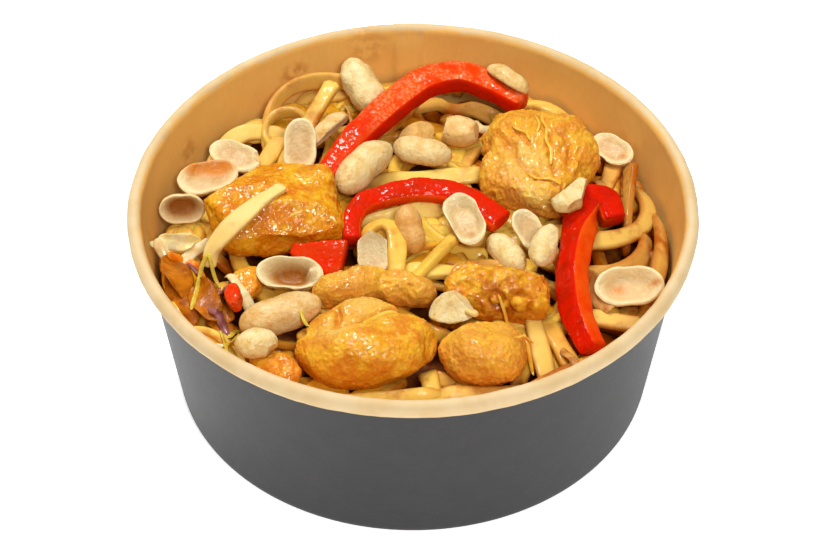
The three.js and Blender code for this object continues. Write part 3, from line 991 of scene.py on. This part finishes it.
CHICKEN_SMOOTHING = 30
FLATNESS = 0.92
CREASE_WIDTH = 0.9
CREASE_WANDER = 4.0
DROP_DEPTH = 0.26
DROP_SIZE = 0.75
FAIR_SHARE = 0.8
BURNT_SHARE = 0.7


def evened_copy(node, voxel, smoothing):
    """A node's solid as an even mesh with rounded facets, in millimetres: points, normals and faces."""
    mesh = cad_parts[node].data.copy()
    form = bmesh.new()
    form.from_mesh(mesh)
    bmesh.ops.remove_doubles(form, verts=form.verts, dist=1e-6)
    form.to_mesh(mesh)
    form.free()
    draft = placed(node + "_draft", mesh)
    remesh = draft.modifiers.new("even", "REMESH")
    remesh.mode = "VOXEL"
    remesh.voxel_size = voxel * MM
    relax = draft.modifiers.new("relax", "SMOOTH")
    relax.factor = 0.5
    relax.iterations = smoothing
    shown = draft.evaluated_get(bpy.context.evaluated_depsgraph_get())
    evened = bpy.data.meshes.new_from_object(shown)
    points = np.array([v.co for v in evened.vertices]) / MM
    normals = np.array([v.normal for v in evened.vertices])
    faces = [list(p.vertices) for p in evened.polygons]
    bpy.data.objects.remove(draft)
    bpy.data.meshes.remove(mesh)
    bpy.data.meshes.remove(evened)
    return points, normals, faces


def flattened(points, cuts):
    """Points with what stands beyond each flat cut pressed back to it."""
    middle = (points.min(0) + points.max(0)) / 2
    for direction, depth in cuts:
        way = unit(np.array(direction, float))
        along = (points - middle) @ way
        beyond = np.maximum(0, along - (along.max() - depth))
        points = points - beyond[:, None] * way * FLATNESS
    return points


def distance_to_line(points, corners):
    """How far points are from a line of corners, seen from above."""
    nearest = np.full(len(points), 1e9)
    for a, b in zip(np.array(corners, float), np.array(corners[1:], float)):
        along = b - a
        share = np.clip(((points - a) @ along) / (along @ along), 0, 1)
        gap = np.linalg.norm(points - a - share[:, None] * along, axis=1)
        nearest = np.minimum(nearest, gap)
    return nearest


def meat_relief(points, meat):
    """How far the meat stands proud of its plain form at each point."""
    seed = meat.seed
    x, y, z = points.T
    c, s = math.cos(math.radians(meat.fibre)), math.sin(math.radians(meat.fibre))
    swell = rough_at(points, 6.0, seed) + 0.45 * rough_at(points, 2.8, seed + 1)
    across = c * y - s * x + 1.2 * rough_at(points, 5.0, seed + 3)
    drawn_out = np.column_stack([(c * x + s * y) / 4.5, across / 2.0, z / 2.4])
    fold = 0.3 - np.abs(rough_at(drawn_out, 1.0, seed + 2))
    crag = 0.35 - np.abs(rough_at(points, 3.2, seed + 6))
    drop = DROP_DEPTH * rough_at(points, DROP_SIZE, seed + 8)
    return meat.lumps * swell + meat.folds * fold + meat.crags * 1.6 * crag + drop


def make_chicken(material):
    pieces = []
    for node, meat in CHICKEN.items():
        points, normals, faces = evened_copy(node, CHICKEN_VOXEL, CHICKEN_SMOOTHING)
        points = points + normals * meat.swell
        for spot, reach, shift in meat.pulls:
            gap = np.linalg.norm(points - np.array(spot), axis=1, keepdims=True) / reach
            points = points + np.exp(-gap * gap) * np.array(shift)
        points = flattened(points, meat.cuts)
        crease = np.zeros(len(points))
        wander = np.stack([rough_at(points, CREASE_WANDER, seed) for seed in (1, 2)], -1)
        for corners in meat.creases:
            gap = distance_to_line(points[:, :2] + wander, corners) / CREASE_WIDTH
            crease = np.maximum(crease, np.exp(-gap * gap))
        proud = meat_relief(points, meat)
        for *spot, radius in meat.nubs:
            gap = np.linalg.norm(points - np.array(spot), axis=1) / radius
            ring = np.exp(-(((gap - 1.3) / 0.35) ** 2))
            proud += np.exp(-gap * gap) - 0.8 * ring
            crease = np.maximum(crease, 0.8 * ring)
        points = points + normals * (proud - meat.crease_depth * crease)[:, None]
        # Crease and low carry painted shade into the colour; brown and pale are the meat's own colour
        marks = {
            "crease": crease,
            "brown": meat.brown + BURNT_SHARE * spot_shares(points, meat.burnt),
            "low": lowness(points[:, 2]),
            "pale": meat.pale + FAIR_SHARE * spot_shares(points, meat.fair),
        }
        name = node.replace("chicken", "chicken_piece")
        pieces.append(make_piece(name, points, faces, [material], [node], marks))
    return pieces


# Red pepper, with the routes of the solids
@dataclass
class Strip:
    """A strip of red pepper, whose ends are shares of its width."""

    route: list
    width: float
    thickness: float
    facing: tuple
    ends: tuple
    # Angle of the wet side round the strip, with 90 on top
    wet: float
    # Colour of the wet side and of the rest, from red at 0 to orange at 1
    orange: tuple
    # How far it widens in the middle, as a share of its width, and the squareness of its section
    bulge: float = 0.3
    square: float = 4.6
    # Where the strip turns over or changes colour, what it has at first
    facing_first: tuple = None
    orange_first: tuple = None


PEPPERS = {
    "pepper_back": Strip(
        route=[
            (-24, 19.5, 47),
            (-15.5, 33, 49.5),
            (-5.5, 46, 51),
            (4, 55, 51.8),
            (13.5, 57.5, 51.8),
            (23, 53, 51),
            (30.5, 46.8, 50.6),
        ],
        width=8.8,
        thickness=6,
        facing=(0, -0.1, 1),
        ends=(0.75, 0.75),
        wet=135,
        # Its wet top side is orange-red, partly a painted highlight on the red
        orange=(1.0, 0.15),
        orange_first=(0.45, 0.1),
        square=3.6,
    ),
    "pepper_middle": Strip(
        route=[
            (-16.2, -4.8, 46.4),
            (-16.4, 1, 47.6),
            (-13.5, 7.5, 48.4),
            (-5.5, 11.5, 48.6),
            (5, 13, 48.6),
            (15, 9.5, 48),
            (23.5, 2, 46.8),
        ],
        width=7.2,
        thickness=4.2,
        facing=(0.1, -0.2, 1),
        ends=(0.66, 1.1),
        wet=135,
        orange=(0.2, 0.75),
        bulge=0.08,
        square=2.9,
    ),
    "pepper_right": Strip(
        route=[
            (53.4, 3, 46),
            (51.4, 8.6, 48),
            (46.6, 8, 49),
            (43.4, -6, 48.6),
            (41.2, -19, 48),
            (41.6, -31, 47.4),
            (43.4, -39, 46.8),
            (45.6, -44.5, 46),
        ],
        width=9.4,
        thickness=5.8,
        facing=(-1.05, -0.1, 0.85),
        facing_first=(0.1, -0.3, 1),
        ends=(0.7, 0.62),
        wet=45,
        orange=(0.1, 0.9),
    ),
    "pepper_flat": Strip(
        route=[(-31.5, -8.5, 43.6), (-25, -11.6, 44.2), (-18, -13.5, 44.4)],
        width=10.6,
        thickness=4.0,
        facing=(0.1, -0.6, 1),
        ends=(0.3, 1.1),
        wet=90,
        orange=(0.4, 0.1),
        bulge=0.1,
    ),
    "pepper_chip": Strip(
        route=[(-46.2, -24.5, 43.2), (-46, -28, 43.6), (-45.2, -32, 43.4)],
        width=6.6,
        thickness=4.2,
        facing=(-0.2, -0.6, 1),
        ends=(0.4, 0.3),
        wet=90,
        orange=(0.5, 0.9),
    ),
}
PEPPER_STEP = 0.4


def changing(first, later, turn):
    """The first value before a strip's turn, where it has one, and the later value after it."""
    later = np.array(later, float)
    if first is None:
        first = later
    return np.array(first, float) + (later - first) * turn


def make_peppers(material):
    pieces = []
    for seed, (node, strip) in enumerate(PEPPERS.items()):
        outline = section(64, strip.square)
        route = smooth_route(strip.route, PEPPER_STEP)
        t = np.linspace(0, 1, len(route))
        turn = smooth_step(0.2, 0.45, t)[:, None]
        first, last = strip.ends
        width = strip.width * (first + (last - first) * t + strip.bulge * np.sin(math.pi * t))
        grown = blunt_ends(route, 0.7, 0.78)
        facing = changing(strip.facing_first, strip.facing, turn)
        rings = sweep(route, width * grown, strip.thickness * grown, outline, facing)
        out = unit(rings - rings.mean(1, keepdims=True))
        wet = smooth_step(-0.08, 0.08, np.cos(outline[0] - math.radians(strip.wet))[None, :])
        proud = 0.35 * rough_at(rings, 5.0, seed) + 0.1 * rough_at(rings, 1.8, seed + 5)
        proud = proud + 0.14 * wet * rough_at(rings, 0.8, seed + 7)
        rings = rings + out * proud[..., None]
        hue = changing(strip.orange_first, strip.orange, turn)
        orange = hue[:, 1:] + (hue[:, :1] - hue[:, 1:]) * wet
        name = node.replace("pepper", "pepper_strip")
        pieces.append(stand_in(node, name, rings, material, "red_pepper", wet=wet, orange=orange))
    return pieces


# Peanuts, as in the solids
@dataclass(frozen=True)
class Kind:
    """The plain form of a kind of kernel, in widths, and how dark the painted shade in its hollowed face is.
    """

    dome: float
    hollow: float
    waist: float
    shade: float


HALF = Kind(dome=0.5, hollow=0.09, waist=0.12, shade=0.45)
WHOLE = Kind(dome=0.46, hollow=None, waist=0.12, shade=0.0)
CHIP = Kind(dome=0.5, hollow=0.05, waist=0.0, shade=0.0)


@dataclass
class Kernel:
    """One kernel and how it lies. Places on it are in half lengths and half widths."""

    at: tuple
    length: float
    width: float
    yaw: float
    pitch: float = 0
    roll: float = 0
    kind: Kind = HALF
    bend: float = 0
    wrinkle: float = 1
    # The end of the hollowed face that has the germ's nub, 1 or -1
    germ: int = 0
    # The hollow: how many times as deep as in others, and where its side begins and ends
    deep: float = 1
    shell: tuple = (0.5, 0.9)
    # Flat breaks, each with the way it looks and how far out it is, and round notches with their radius
    cuts: list = field(default_factory=list)
    bites: list = field(default_factory=list)
    # Golden colour all over, golden painted shade on the underside, and painted shade in the hollow
    tone: float = 0.2
    golden: float = 1
    shade: float = None
    # Sauce all over, and in spots on the hollowed face with their reach
    stain: float = 0.0
    spots: list = field(default_factory=list)


PEANUTS = [
    Kernel((-14, 57), 19, 11, yaw=122, pitch=24, kind=WHOLE, wrinkle=2.6, tone=0.0),
    Kernel((-22.5, 40), 15, 9, yaw=52, roll=-62, stain=0.15, bend=0.25),
    Kernel((-13.5, 21), 21, 11, yaw=52, pitch=6, kind=WHOLE, bend=-0.2),
    Kernel((-31, 30.5), 16, 10, yaw=88, pitch=32, roll=180, tone=0.35),
    Kernel((-49, 30.5), 16, 9.5, yaw=-32, roll=195, bites=[(1.1, -0.6, -0.1, 0.5)]),
    Kernel(
        (-55.8, 20.8), 17, 11, yaw=20, roll=196, tone=0.1,
        spots=[(-0.4, -0.8, 0.4), (0.2, -0.6, 0.5), (0.6, -0.3, 0.4)],
    ),
    Kernel((-62, 8.6), 12.5, 9, yaw=4, roll=246, deep=4, shell=(0.35, 0.96), tone=0.1, shade=1.2),
    Kernel(
        (1.3, 39.6), 12, 8.5, yaw=30, pitch=8, kind=CHIP, tone=0.75,
        cuts=[((0.6, -0.5, 0.6), 0.45), ((-0.6, -0.3, 0.75), 0.5), ((0, -1, 0.1), 0.55)],
    ),
    Kernel(
        (13, 41), 12, 9.5, yaw=-14, roll=20, kind=CHIP, tone=0.55,
        cuts=[((-1, 0, 0.1), 0.72), ((1, 0.1, 0.2), 0.85), ((0, 0, 1), 0.8)],
    ),
    Kernel((2.5, 30.5), 17, 10, yaw=-16, bend=0.15, tone=0.25),
    Kernel((26.4, 53), 15, 8, yaw=134, roll=35, tone=0.4),
    Kernel((55, 34), 14, 9, yaw=-48, roll=196, germ=1, tone=0.45, spots=[(0.64, 0, 0.2)]),
    Kernel(
        (42, 5), 14, 9, yaw=56, kind=CHIP, tone=0.0,
        cuts=[((0.2, 0.8, 0.5), 0.6), ((0.5, -0.87, 0), 0.62), ((-0.1, -0.3, 1), 0.72)],
        bites=[(-0.62, -0.95, 0.2, 0.5)],
    ),
    Kernel(
        (13.6, -0.5), 18, 10.5, yaw=-70, pitch=-8, roll=192, bend=0.12, germ=1, deep=2.4, shell=(0.5, 0.93),
        cuts=[((0.1, 1, 0), 0.8), ((0, -1, 0), 0.86), ((-1, 0.2, 0), 0.92)],
        shade=0.4, spots=[(0.68, 0, 0.17)],
    ),
    Kernel((24.6, -7), 15, 8.5, yaw=-58, tone=0.0),
    Kernel((31, -1.8), 13, 8.5, yaw=122, pitch=24, roll=180, tone=0.3),
    Kernel(
        (34.4, -10), 15, 8.5, yaw=74, roll=12, wrinkle=2.2, tone=0.05,
        cuts=[((0.7, 0.75, 0), 0.72), ((0.35, -0.95, 0), 0.7), ((0.1, -0.3, 1), 0.8)],
    ),
    Kernel(
        (-10.5, -13), 13, 9, yaw=92, pitch=48, roll=180, tone=0.0, shade=0.15,
        cuts=[((1, 0.45, 0), 0.8), ((1, -0.6, 0), 0.85), ((0, 1, 0), 0.85)],
    ),
    Kernel((-0.8, -1.4), 14, 8, yaw=104, pitch=26, tone=0.6, stain=0.4),
    Kernel(
        (-32, -19.2), 18, 10.5, yaw=-10, pitch=4, roll=200, germ=1, deep=4.4, shell=(0.3, 0.96),
        tone=0.1, shade=1.2,
    ),
    Kernel((-34, -33), 22, 11, yaw=17, pitch=9, kind=WHOLE, stain=0.25),
    Kernel((-39.4, -45.5), 11, 8.5, yaw=8, roll=12, kind=CHIP, tone=0.0, bites=[(0.82, -0.7, 0.12, 0.42)]),
    Kernel(
        (10, -35), 13.5, 10, yaw=-8, pitch=8, kind=CHIP, tone=0.0, golden=0.6,
        cuts=[((0.2, -0.72, 0.68), 0.55), ((0.8, 0.3, 0.5), 0.62), ((-0.7, 0.0, 0.7), 0.56)],
    ),
    Kernel(
        (56, -22), 18, 12, yaw=4, pitch=2, roll=202, deep=2.4, shell=(0.5, 0.93), tone=0.1, shade=0.3,
        spots=[(-0.28, 0, 0.24), (0.78, -0.1, 0.16)],
    ),
]
KERNEL_ROWS = 44
KERNEL_COLUMNS = 48
GERM_PLACE = 0.66
LIP_HEIGHT = 0.06


def turned(points, roll=0, pitch=0, yaw=0):
    spin = Matrix.Rotation(math.radians(yaw), 3, "Z") @ Matrix.Rotation(math.radians(-pitch), 3, "Y")
    spin = spin @ Matrix.Rotation(math.radians(roll), 3, "X")
    return points @ np.array(spin).T


def kernel_form(kernel):
    """A kernel lying on its hollowed face, in half lengths and half widths, with its round form and marks."""
    kind = kernel.kind
    polar = np.linspace(0.05, math.pi - 0.05, KERNEL_ROWS)[:, None]
    around = (np.arange(KERNEL_COLUMNS) * 2 * math.pi / KERNEL_COLUMNS)[None, :]
    x = np.cos(polar) * np.ones_like(around)
    y = np.sin(polar) * np.cos(around)
    z = np.sin(polar) * np.sin(around)
    pinch = 1 - kind.waist * np.exp(-((x / 0.35) ** 2))
    face = np.zeros_like(x)
    cup = np.zeros_like(x)
    height = 2 * kind.dome * z
    if kind.hollow is not None:
        reach = np.hypot(x, y)
        depth = kind.hollow * kernel.deep
        inside = 1 - smooth_step(*kernel.shell, reach)
        face = smooth_step(0.02, 0.12, -z)
        cup = face * inside
        sunk = 2 * depth * inside
        if kernel.germ:
            nub = np.exp(-(((x - GERM_PLACE * kernel.germ) / 0.17) ** 2) - (y / 0.24) ** 2)
            sunk = sunk - 2 * (depth + 0.04) * nub
            cup = cup * (1 - np.clip(nub * 1.3, 0, 1))
        lip = LIP_HEIGHT * smooth_step(0.82, 0.93, reach) * (1 - smooth_step(0.93, 1.0, reach))
        height = np.where(z < 0, sunk - lip, height)
    points = np.stack([x, y * pinch + kernel.bend * (x * x - 0.3), height * pinch], -1)
    for direction, far in kernel.cuts:
        way = unit(np.array(direction, float))
        beyond = np.maximum(0, points @ way - far)
        points = points - beyond[..., None] * way
    for *spot, radius in kernel.bites:
        away = points - np.array(spot)
        gap = np.linalg.norm(away, axis=-1, keepdims=True)
        points = np.where(gap < radius, np.array(spot) + away / np.maximum(gap, 1e-6) * radius, points)
    return points, np.stack([x, y, z], -1), face, cup


def make_peanuts(material):
    pieces = []
    for seed, kernel in enumerate(PEANUTS):
        form, out, face, cup = kernel_form(kernel)
        points = form * np.array([kernel.length, kernel.width, kernel.width]) / 2
        proud = 0.3 * rough_at(points, 4.5, seed) + 0.12 * kernel.wrinkle * rough_at(points, 1.7, seed + 9)
        points = points + out * (proud * (1 - 0.6 * face))[..., None]
        rings = turned(points, kernel.roll, kernel.pitch, kernel.yaw) + np.array([*kernel.at, 0])
        # The low and hollow marks carry painted shade into the colour
        marks = {
            "face": face,
            "hollow": cup * (kernel.kind.shade if kernel.shade is None else kernel.shade),
            "stain": kernel.stain + face * spot_shares(out, kernel.spots),
            "low": lowness(rings[..., 2]) * kernel.golden,
            "tone": kernel.tone,
        }
        node = f"peanut_{seed + 1:02d}"
        name = node.replace("peanut", "peanut_kernel")
        pieces.append(stand_in(node, name, rings, material, "peanut", **marks))
    return pieces


# Cabbage, as in the solids
@dataclass
class Leaf:
    """A limp leaf, pale for a tint of 0 and soaked for 1."""

    at: tuple
    length: float
    width: float
    yaw: float
    roll: float
    wave: float
    tint: float


CABBAGES = {
    "cabbage_pale": Leaf(at=(-63, -2.6), length=12, width=4.6, yaw=-4, roll=48, wave=1.3, tint=0.0),
    "cabbage_edge": Leaf(at=(-62, -15), length=14, width=8, yaw=-76, roll=-22, wave=1.1, tint=1.0),
    "cabbage_inner": Leaf(at=(-54, -24), length=14, width=7.5, yaw=-62, roll=16, wave=1.3, tint=1.0),
}
LEAF_THICKNESS = 0.5
LEAF_ROWS = 48
LEAF_COLUMNS = 16


def leaf_rings(length, width, wave, seed):
    """A thin, softly waved leaf with an uneven outline."""
    u = np.linspace(-0.5, 0.5, LEAF_ROWS)[:, None]
    over = np.linspace(-0.5, 0.5, LEAF_COLUMNS)
    v = np.concatenate([over, over[::-1]])[None, :]
    upper = np.repeat([1, -1], LEAF_COLUMNS)[None, :]
    ruffle = np.sin(6.5 * u + 2.2 * v + seed) * (0.5 + 0.7 * np.abs(v)) + 0.4 * np.sin(11 * u - 3 * v) * v
    rounded = np.sqrt(np.clip(1 - (2 * v) ** 8, 0.02, 1)) * np.sqrt(np.clip(1 - (2 * u) ** 12, 0.02, 1))
    z = wave * (ruffle + 1.6 * v * v) + upper * rounded * LEAF_THICKNESS / 2
    outline = np.sqrt(np.clip(1 - (2 * u) ** 4, 0.03, 1)) * (1 + 0.1 * np.sin(9 * u + seed))
    x = u * length + 0.08 * length * np.sin(3 * v + seed)
    y = v * width * outline
    return np.stack([x, y, z], -1)


def make_leaves(material):
    pieces = []
    for seed, (node, leaf) in enumerate(CABBAGES.items()):
        flat = leaf_rings(leaf.length, leaf.width, leaf.wave, seed)
        rings = turned(flat, roll=leaf.roll, yaw=leaf.yaw) + np.array([*leaf.at, 0])
        name = node.replace("cabbage", "cabbage_leaf")
        pieces.append(stand_in(node, name, rings, material, "cabbage", tint=leaf.tint))
    return pieces


# Shreds
class Ground:
    """What the food laid so far looks like from above."""

    def __init__(self, pieces):
        points, faces = [], []
        for piece in pieces:
            first = len(points)
            points += [v.co.copy() for v in piece.data.vertices]
            faces += [[first + corner for corner in p.vertices] for p in piece.data.polygons]
        self.tree = BVHTree.FromPolygons(points, faces)

    def height(self, x, y):
        above = Vector((x, y, BOWL_HEIGHT * 2)) * MM
        hit = self.tree.ray_cast(above, Vector((0, 0, -1)))[0]
        return CORE_EDGE if hit is None else hit.z / MM


@dataclass
class Shreds:
    """Shreds of one kind, between two colours. Each is a line seen from above, with its width, thickness,
    height over what it lies on, roll and curl. Low ones lie on the noodles, under the other food."""

    light: tuple
    dark: tuple
    slot: str
    lines: list
    low: bool = False


SHRED_STEP = 0.5
LONG_STRING = [(35.4, 38.2), (35.4, 34), (36.4, 30.5), (36.1, 26.5), (37.3, 22.4), (37, 17.5)]
CARROT_BAND = [(-64.6, -8.8), (-61.9, -7.5), (-59, -8.1), (-56.7, -10.6), (-55.2, -13.2)]
WHITE_BAND = [(-68.6, -3), (-66.3, -5.3), (-64, -7.2), (-61.3, -7.6)]
WHITE_BAND += [(-58.3, -5.3), (-55.3, -3.4), (-54.1, -1)]
SHREDS = {
    "leek": Shreds(
        light=(216, 192, 72),
        dark=(188, 152, 40),
        slot="cabbage",
        lines=[
            ([(-53.4, -12.6), (-55.1, -14.9), (-56, -20.5), (-57.2, -28.6)], 1.3, 0.35, 0.1, 15, 0.6),
            ([(-53.4, -12.6), (-51.9, -16.4), (-50.2, -19)], 1.1, 0.35, 0.2, -10, 0.6),
            ([(-47.1, -38.1), (-45.8, -33.8), (-44.1, -33.1)], 2.2, 0.7, 0.2, 15, 1.5),
            ([(-47, -40.2), (-44.8, -43.1), (-43.7, -44.5)], 2.0, 0.6, 0.2, 0, 1.5),
            ([(-49.2, -36.5), (-48, -40), (-46.8, -44)], 1.2, 0.5, 0.2, 30, 0),
            ([(-28.4, -35), (-27.6, -37.6), (-26.4, -40)], 1.3, 0.5, 0.1, 20, 1),
        ],
    ),
    "chicken_string": Shreds(
        light=(244, 196, 84),
        dark=(232, 164, 40),
        slot="chicken",
        lines=[
            (LONG_STRING, 1.0, 0.7, -0.2, 0, 0),
            ([(33.4, 35.5), (34.4, 32), (33.8, 28.6)], 0.7, 0.6, -0.2, 0, 0),
            ([(30.6, 14.6), (33.4, 12.2), (36.4, 11.8), (39.6, 10)], 0.9, 0.7, -0.1, 0, 0),
            ([(27, 31.6), (28.6, 29.6), (30.8, 28), (31.6, 25.4)], 0.9, 0.6, -0.2, 0, 0),
            ([(21.7, -31.8), (24.6, -35), (26.6, -38.5), (29.2, -45), (30.5, -48.8)], 1.0, 0.6, 0.1, 0, 0),
            ([(26.2, -45.9), (28, -44.2), (30.4, -43.4)], 1.3, 0.6, 0.1, 20, 0),
            ([(-12.6, -43.2), (-9, -40), (-5.6, -38), (-2, -37.2), (2, -37.4)], 1.7, 0.9, -0.45, 0, 0),
        ],
    ),
    "peanut_crumb": Shreds(
        light=(240, 214, 148),
        dark=(228, 188, 104),
        slot="peanut",
        lines=[([(13.2, -37.6), (14.8, -38.2), (16.6, -38.6)], 2.4, 1.8, 0.0, 0, 0)],
    ),
    "onion": Shreds(
        light=(214, 166, 96),
        dark=(172, 106, 38),
        slot="cabbage",
        low=True,
        lines=[
            ([(48, 25.1), (51.7, 21.4), (53.5, 10.5)], 4.6, 0.6, 0.3, 25, 4),
            ([(45, -13.5), (47.6, -17.5), (48.4, -23.7), (50.5, -28.6)], 5.0, 0.6, 0.6, -25, 4),
            ([(-19.4, 57), (-17.4, 50), (-15.8, 42.5)], 2.2, 0.6, 0.4, 40, 1),
            ([(38, -42), (41, -47), (42, -52)], 3.4, 0.6, 0.2, 15, 3),
        ],
    ),
    "soaked_leaf": Shreds(
        light=(196, 114, 16),
        dark=(144, 72, 4),
        slot="cabbage",
        low=True,
        lines=[
            ([(-64.4, -11), (-62.6, -16.9), (-60.4, -23.2), (-57.9, -30.2)], 6.0, 0.6, 0.3, -30, 5),
            ([(-54.5, -13.9), (-53.9, -19.5), (-55, -25.8)], 5.0, 0.5, 0.2, 25, 4),
            ([(-52.3, -19.5), (-50, -23.9), (-48.1, -30.2)], 5.0, 0.5, 0.1, -15, 4),
            ([(-53, -26), (-49.7, -29.5), (-47.1, -33), (-45.2, -37)], 6.0, 0.5, 0.3, -10, 4),
        ],
    ),
    "white_shred": Shreds(
        light=(238, 224, 176),
        dark=(222, 190, 122),
        slot="cabbage",
        lines=[
            ([(16, 50), (17.4, 47.4), (19.5, 45), (22.6, 44), (25.6, 44.6)], 2.8, 0.7, 1.6, -40, 2),
            ([(-48.2, -16.4), (-46.4, -19.6), (-43.6, -24.1), (-41.4, -28.2)], 3.4, 0.7, 0.1, 10, 2),
            (WHITE_BAND, 3.2, 0.6, 1.2, -40, 1),
            ([(-50, -40.2), (-48.6, -41), (-47.2, -40.6)], 1.4, 0.6, 0.2, 0, 1),
        ],
    ),
    "red_onion": Shreds(
        light=(160, 104, 104),
        dark=(112, 52, 50),
        slot="cabbage",
        lines=[
            ([(-52.8, -28.4), (-50.2, -28.7), (-48.2, -32), (-47.5, -34.9)], 2.8, 0.8, 0.3, 20, 3),
            ([(-52, -18.7), (-50.1, -21.3), (-47.8, -25)], 2.0, 0.7, 0.6, 0, 2),
            ([(-59.6, -8.4), (-57.3, -11.1), (-55.3, -14.1)], 1.8, 0.6, 0.1, 20, 1),
        ],
    ),
    "carrot": Shreds(
        light=(234, 136, 22),
        dark=(214, 104, 6),
        slot="cabbage",
        lines=[
            (CARROT_BAND, 2.8, 0.7, 0.7, -35, 1),
            ([(-59, -36), (-54, -37.5), (-50, -41)], 2.4, 0.9, 0.1, 30, 1),
        ],
    ),
}


def make_shreds(noodle_ground, food_ground):
    angle, across, up = section(12, 2.6)
    for name, kind in SHREDS.items():
        ground = noodle_ground if kind.low else food_ground
        batch = Batch()
        for corners, width, thickness, lift, roll, curl in kind.lines:
            route = smooth_route([(x, y, 0) for x, y in corners], SHRED_STEP)
            level = bridged(np.array([ground.height(x, y) for x, y, _ in route]), 3, np.ones(9))
            route[:, 2] = level + thickness / 2 + lift
            grown = blunt_ends(route, 2.5, 0.2)
            twist = math.radians(roll) + 0.4 * np.sin(np.linspace(0, 4, len(route)))
            outline = (angle, across, up - curl * across**2)
            batch.add(sweep(route, width * grown, thickness * grown, outline, twist=twist))
        material = finish(name.replace("_", " "), shred_flesh(kind.light, kind.dark))
        batch.piece(name + "_shreds", material, kind.slot)


# Stage, light and camera, in metres. A light has its place, the side of its square and its power
LIGHTS = {
    "key": ((-0.22, 0.45, 0.9), 0.32, 7.1),
    "fill": ((0.2, -0.75, 0.85), 0.28, 5.8),
    "top": ((0, -0.1, 1.3), 0.55, 5.0),
}
LIT_SPOT = Vector((0, 0, 0.04))
FLOOR_HALF = 6.0
SKY_STRENGTH = 0.12


def aimed(way):
    """The turn of a light or camera that looks that way."""
    return way.to_track_quat("-Z", "Y").to_euler()


def make_lights():
    for name, (place, side, power) in LIGHTS.items():
        lamp = bpy.data.lights.new(name, "AREA")
        lamp.shape = "RECTANGLE"
        lamp.size = side
        lamp.size_y = side
        lamp.energy = power
        held = placed(name, lamp)
        held.location = place
        held.rotation_euler = aimed(LIT_SPOT - Vector(place))
    world = bpy.data.worlds.new("studio")
    world.use_nodes = True
    sky = world.node_tree.nodes["Background"].inputs
    sky["Color"].default_value = (1, 1, 1, 1)
    sky["Strength"].default_value = SKY_STRENGTH
    bpy.context.scene.world = world
    bpy.context.scene.view_settings.view_transform = "Standard"


def make_floor():
    mesh = bpy.data.meshes.new("floor")
    corners = [(x * FLOOR_HALF, y * FLOOR_HALF, 0) for x, y in ((-1, -1), (1, -1), (1, 1), (-1, 1))]
    mesh.from_pydata(corners, [], [(0, 1, 2, 3)])
    mesh.materials.append(finish("studio floor", studio_floor))
    floor = placed("floor", mesh)


def make_camera():
    elevation = math.radians(CAMERA_ELEVATION)
    back = Vector((0, -math.cos(elevation), math.sin(elevation)))
    lens = bpy.data.cameras.new("camera")
    lens.sensor_width = 36.0
    lens.lens = FOCAL_PIXELS * lens.sensor_width / PICTURE_WIDTH
    lens.shift_y = PRINCIPAL_DROP / PICTURE_WIDTH
    held = placed("camera", lens)
    held.location = Vector((0, 0, BOWL_HEIGHT / 2 * MM)) + back * CAMERA_DISTANCE * MM
    held.rotation_euler = aimed(-back)
    bpy.context.scene.camera = held


make_camera()
make_floor()
make_lights()
make_bowl(finish("kraft paper", kraft_paper), finish("grey paper", grey_paper))
make_core(finish("sauce_and_gap_shade", sauce_and_gap_shade))
noodle = finish("noodle", noodle_dough)
food = [make_noodles(noodle), make_draped_noodle(noodle)]
food += make_chicken(finish("chicken", fried_chicken))
food += make_peppers(finish("red pepper", red_pepper))
food += make_peanuts(finish("peanut", roasted_peanut))
food += make_leaves(finish("cabbage", limp_leaf))
make_shreds(Ground(food[:1]), Ground(food))
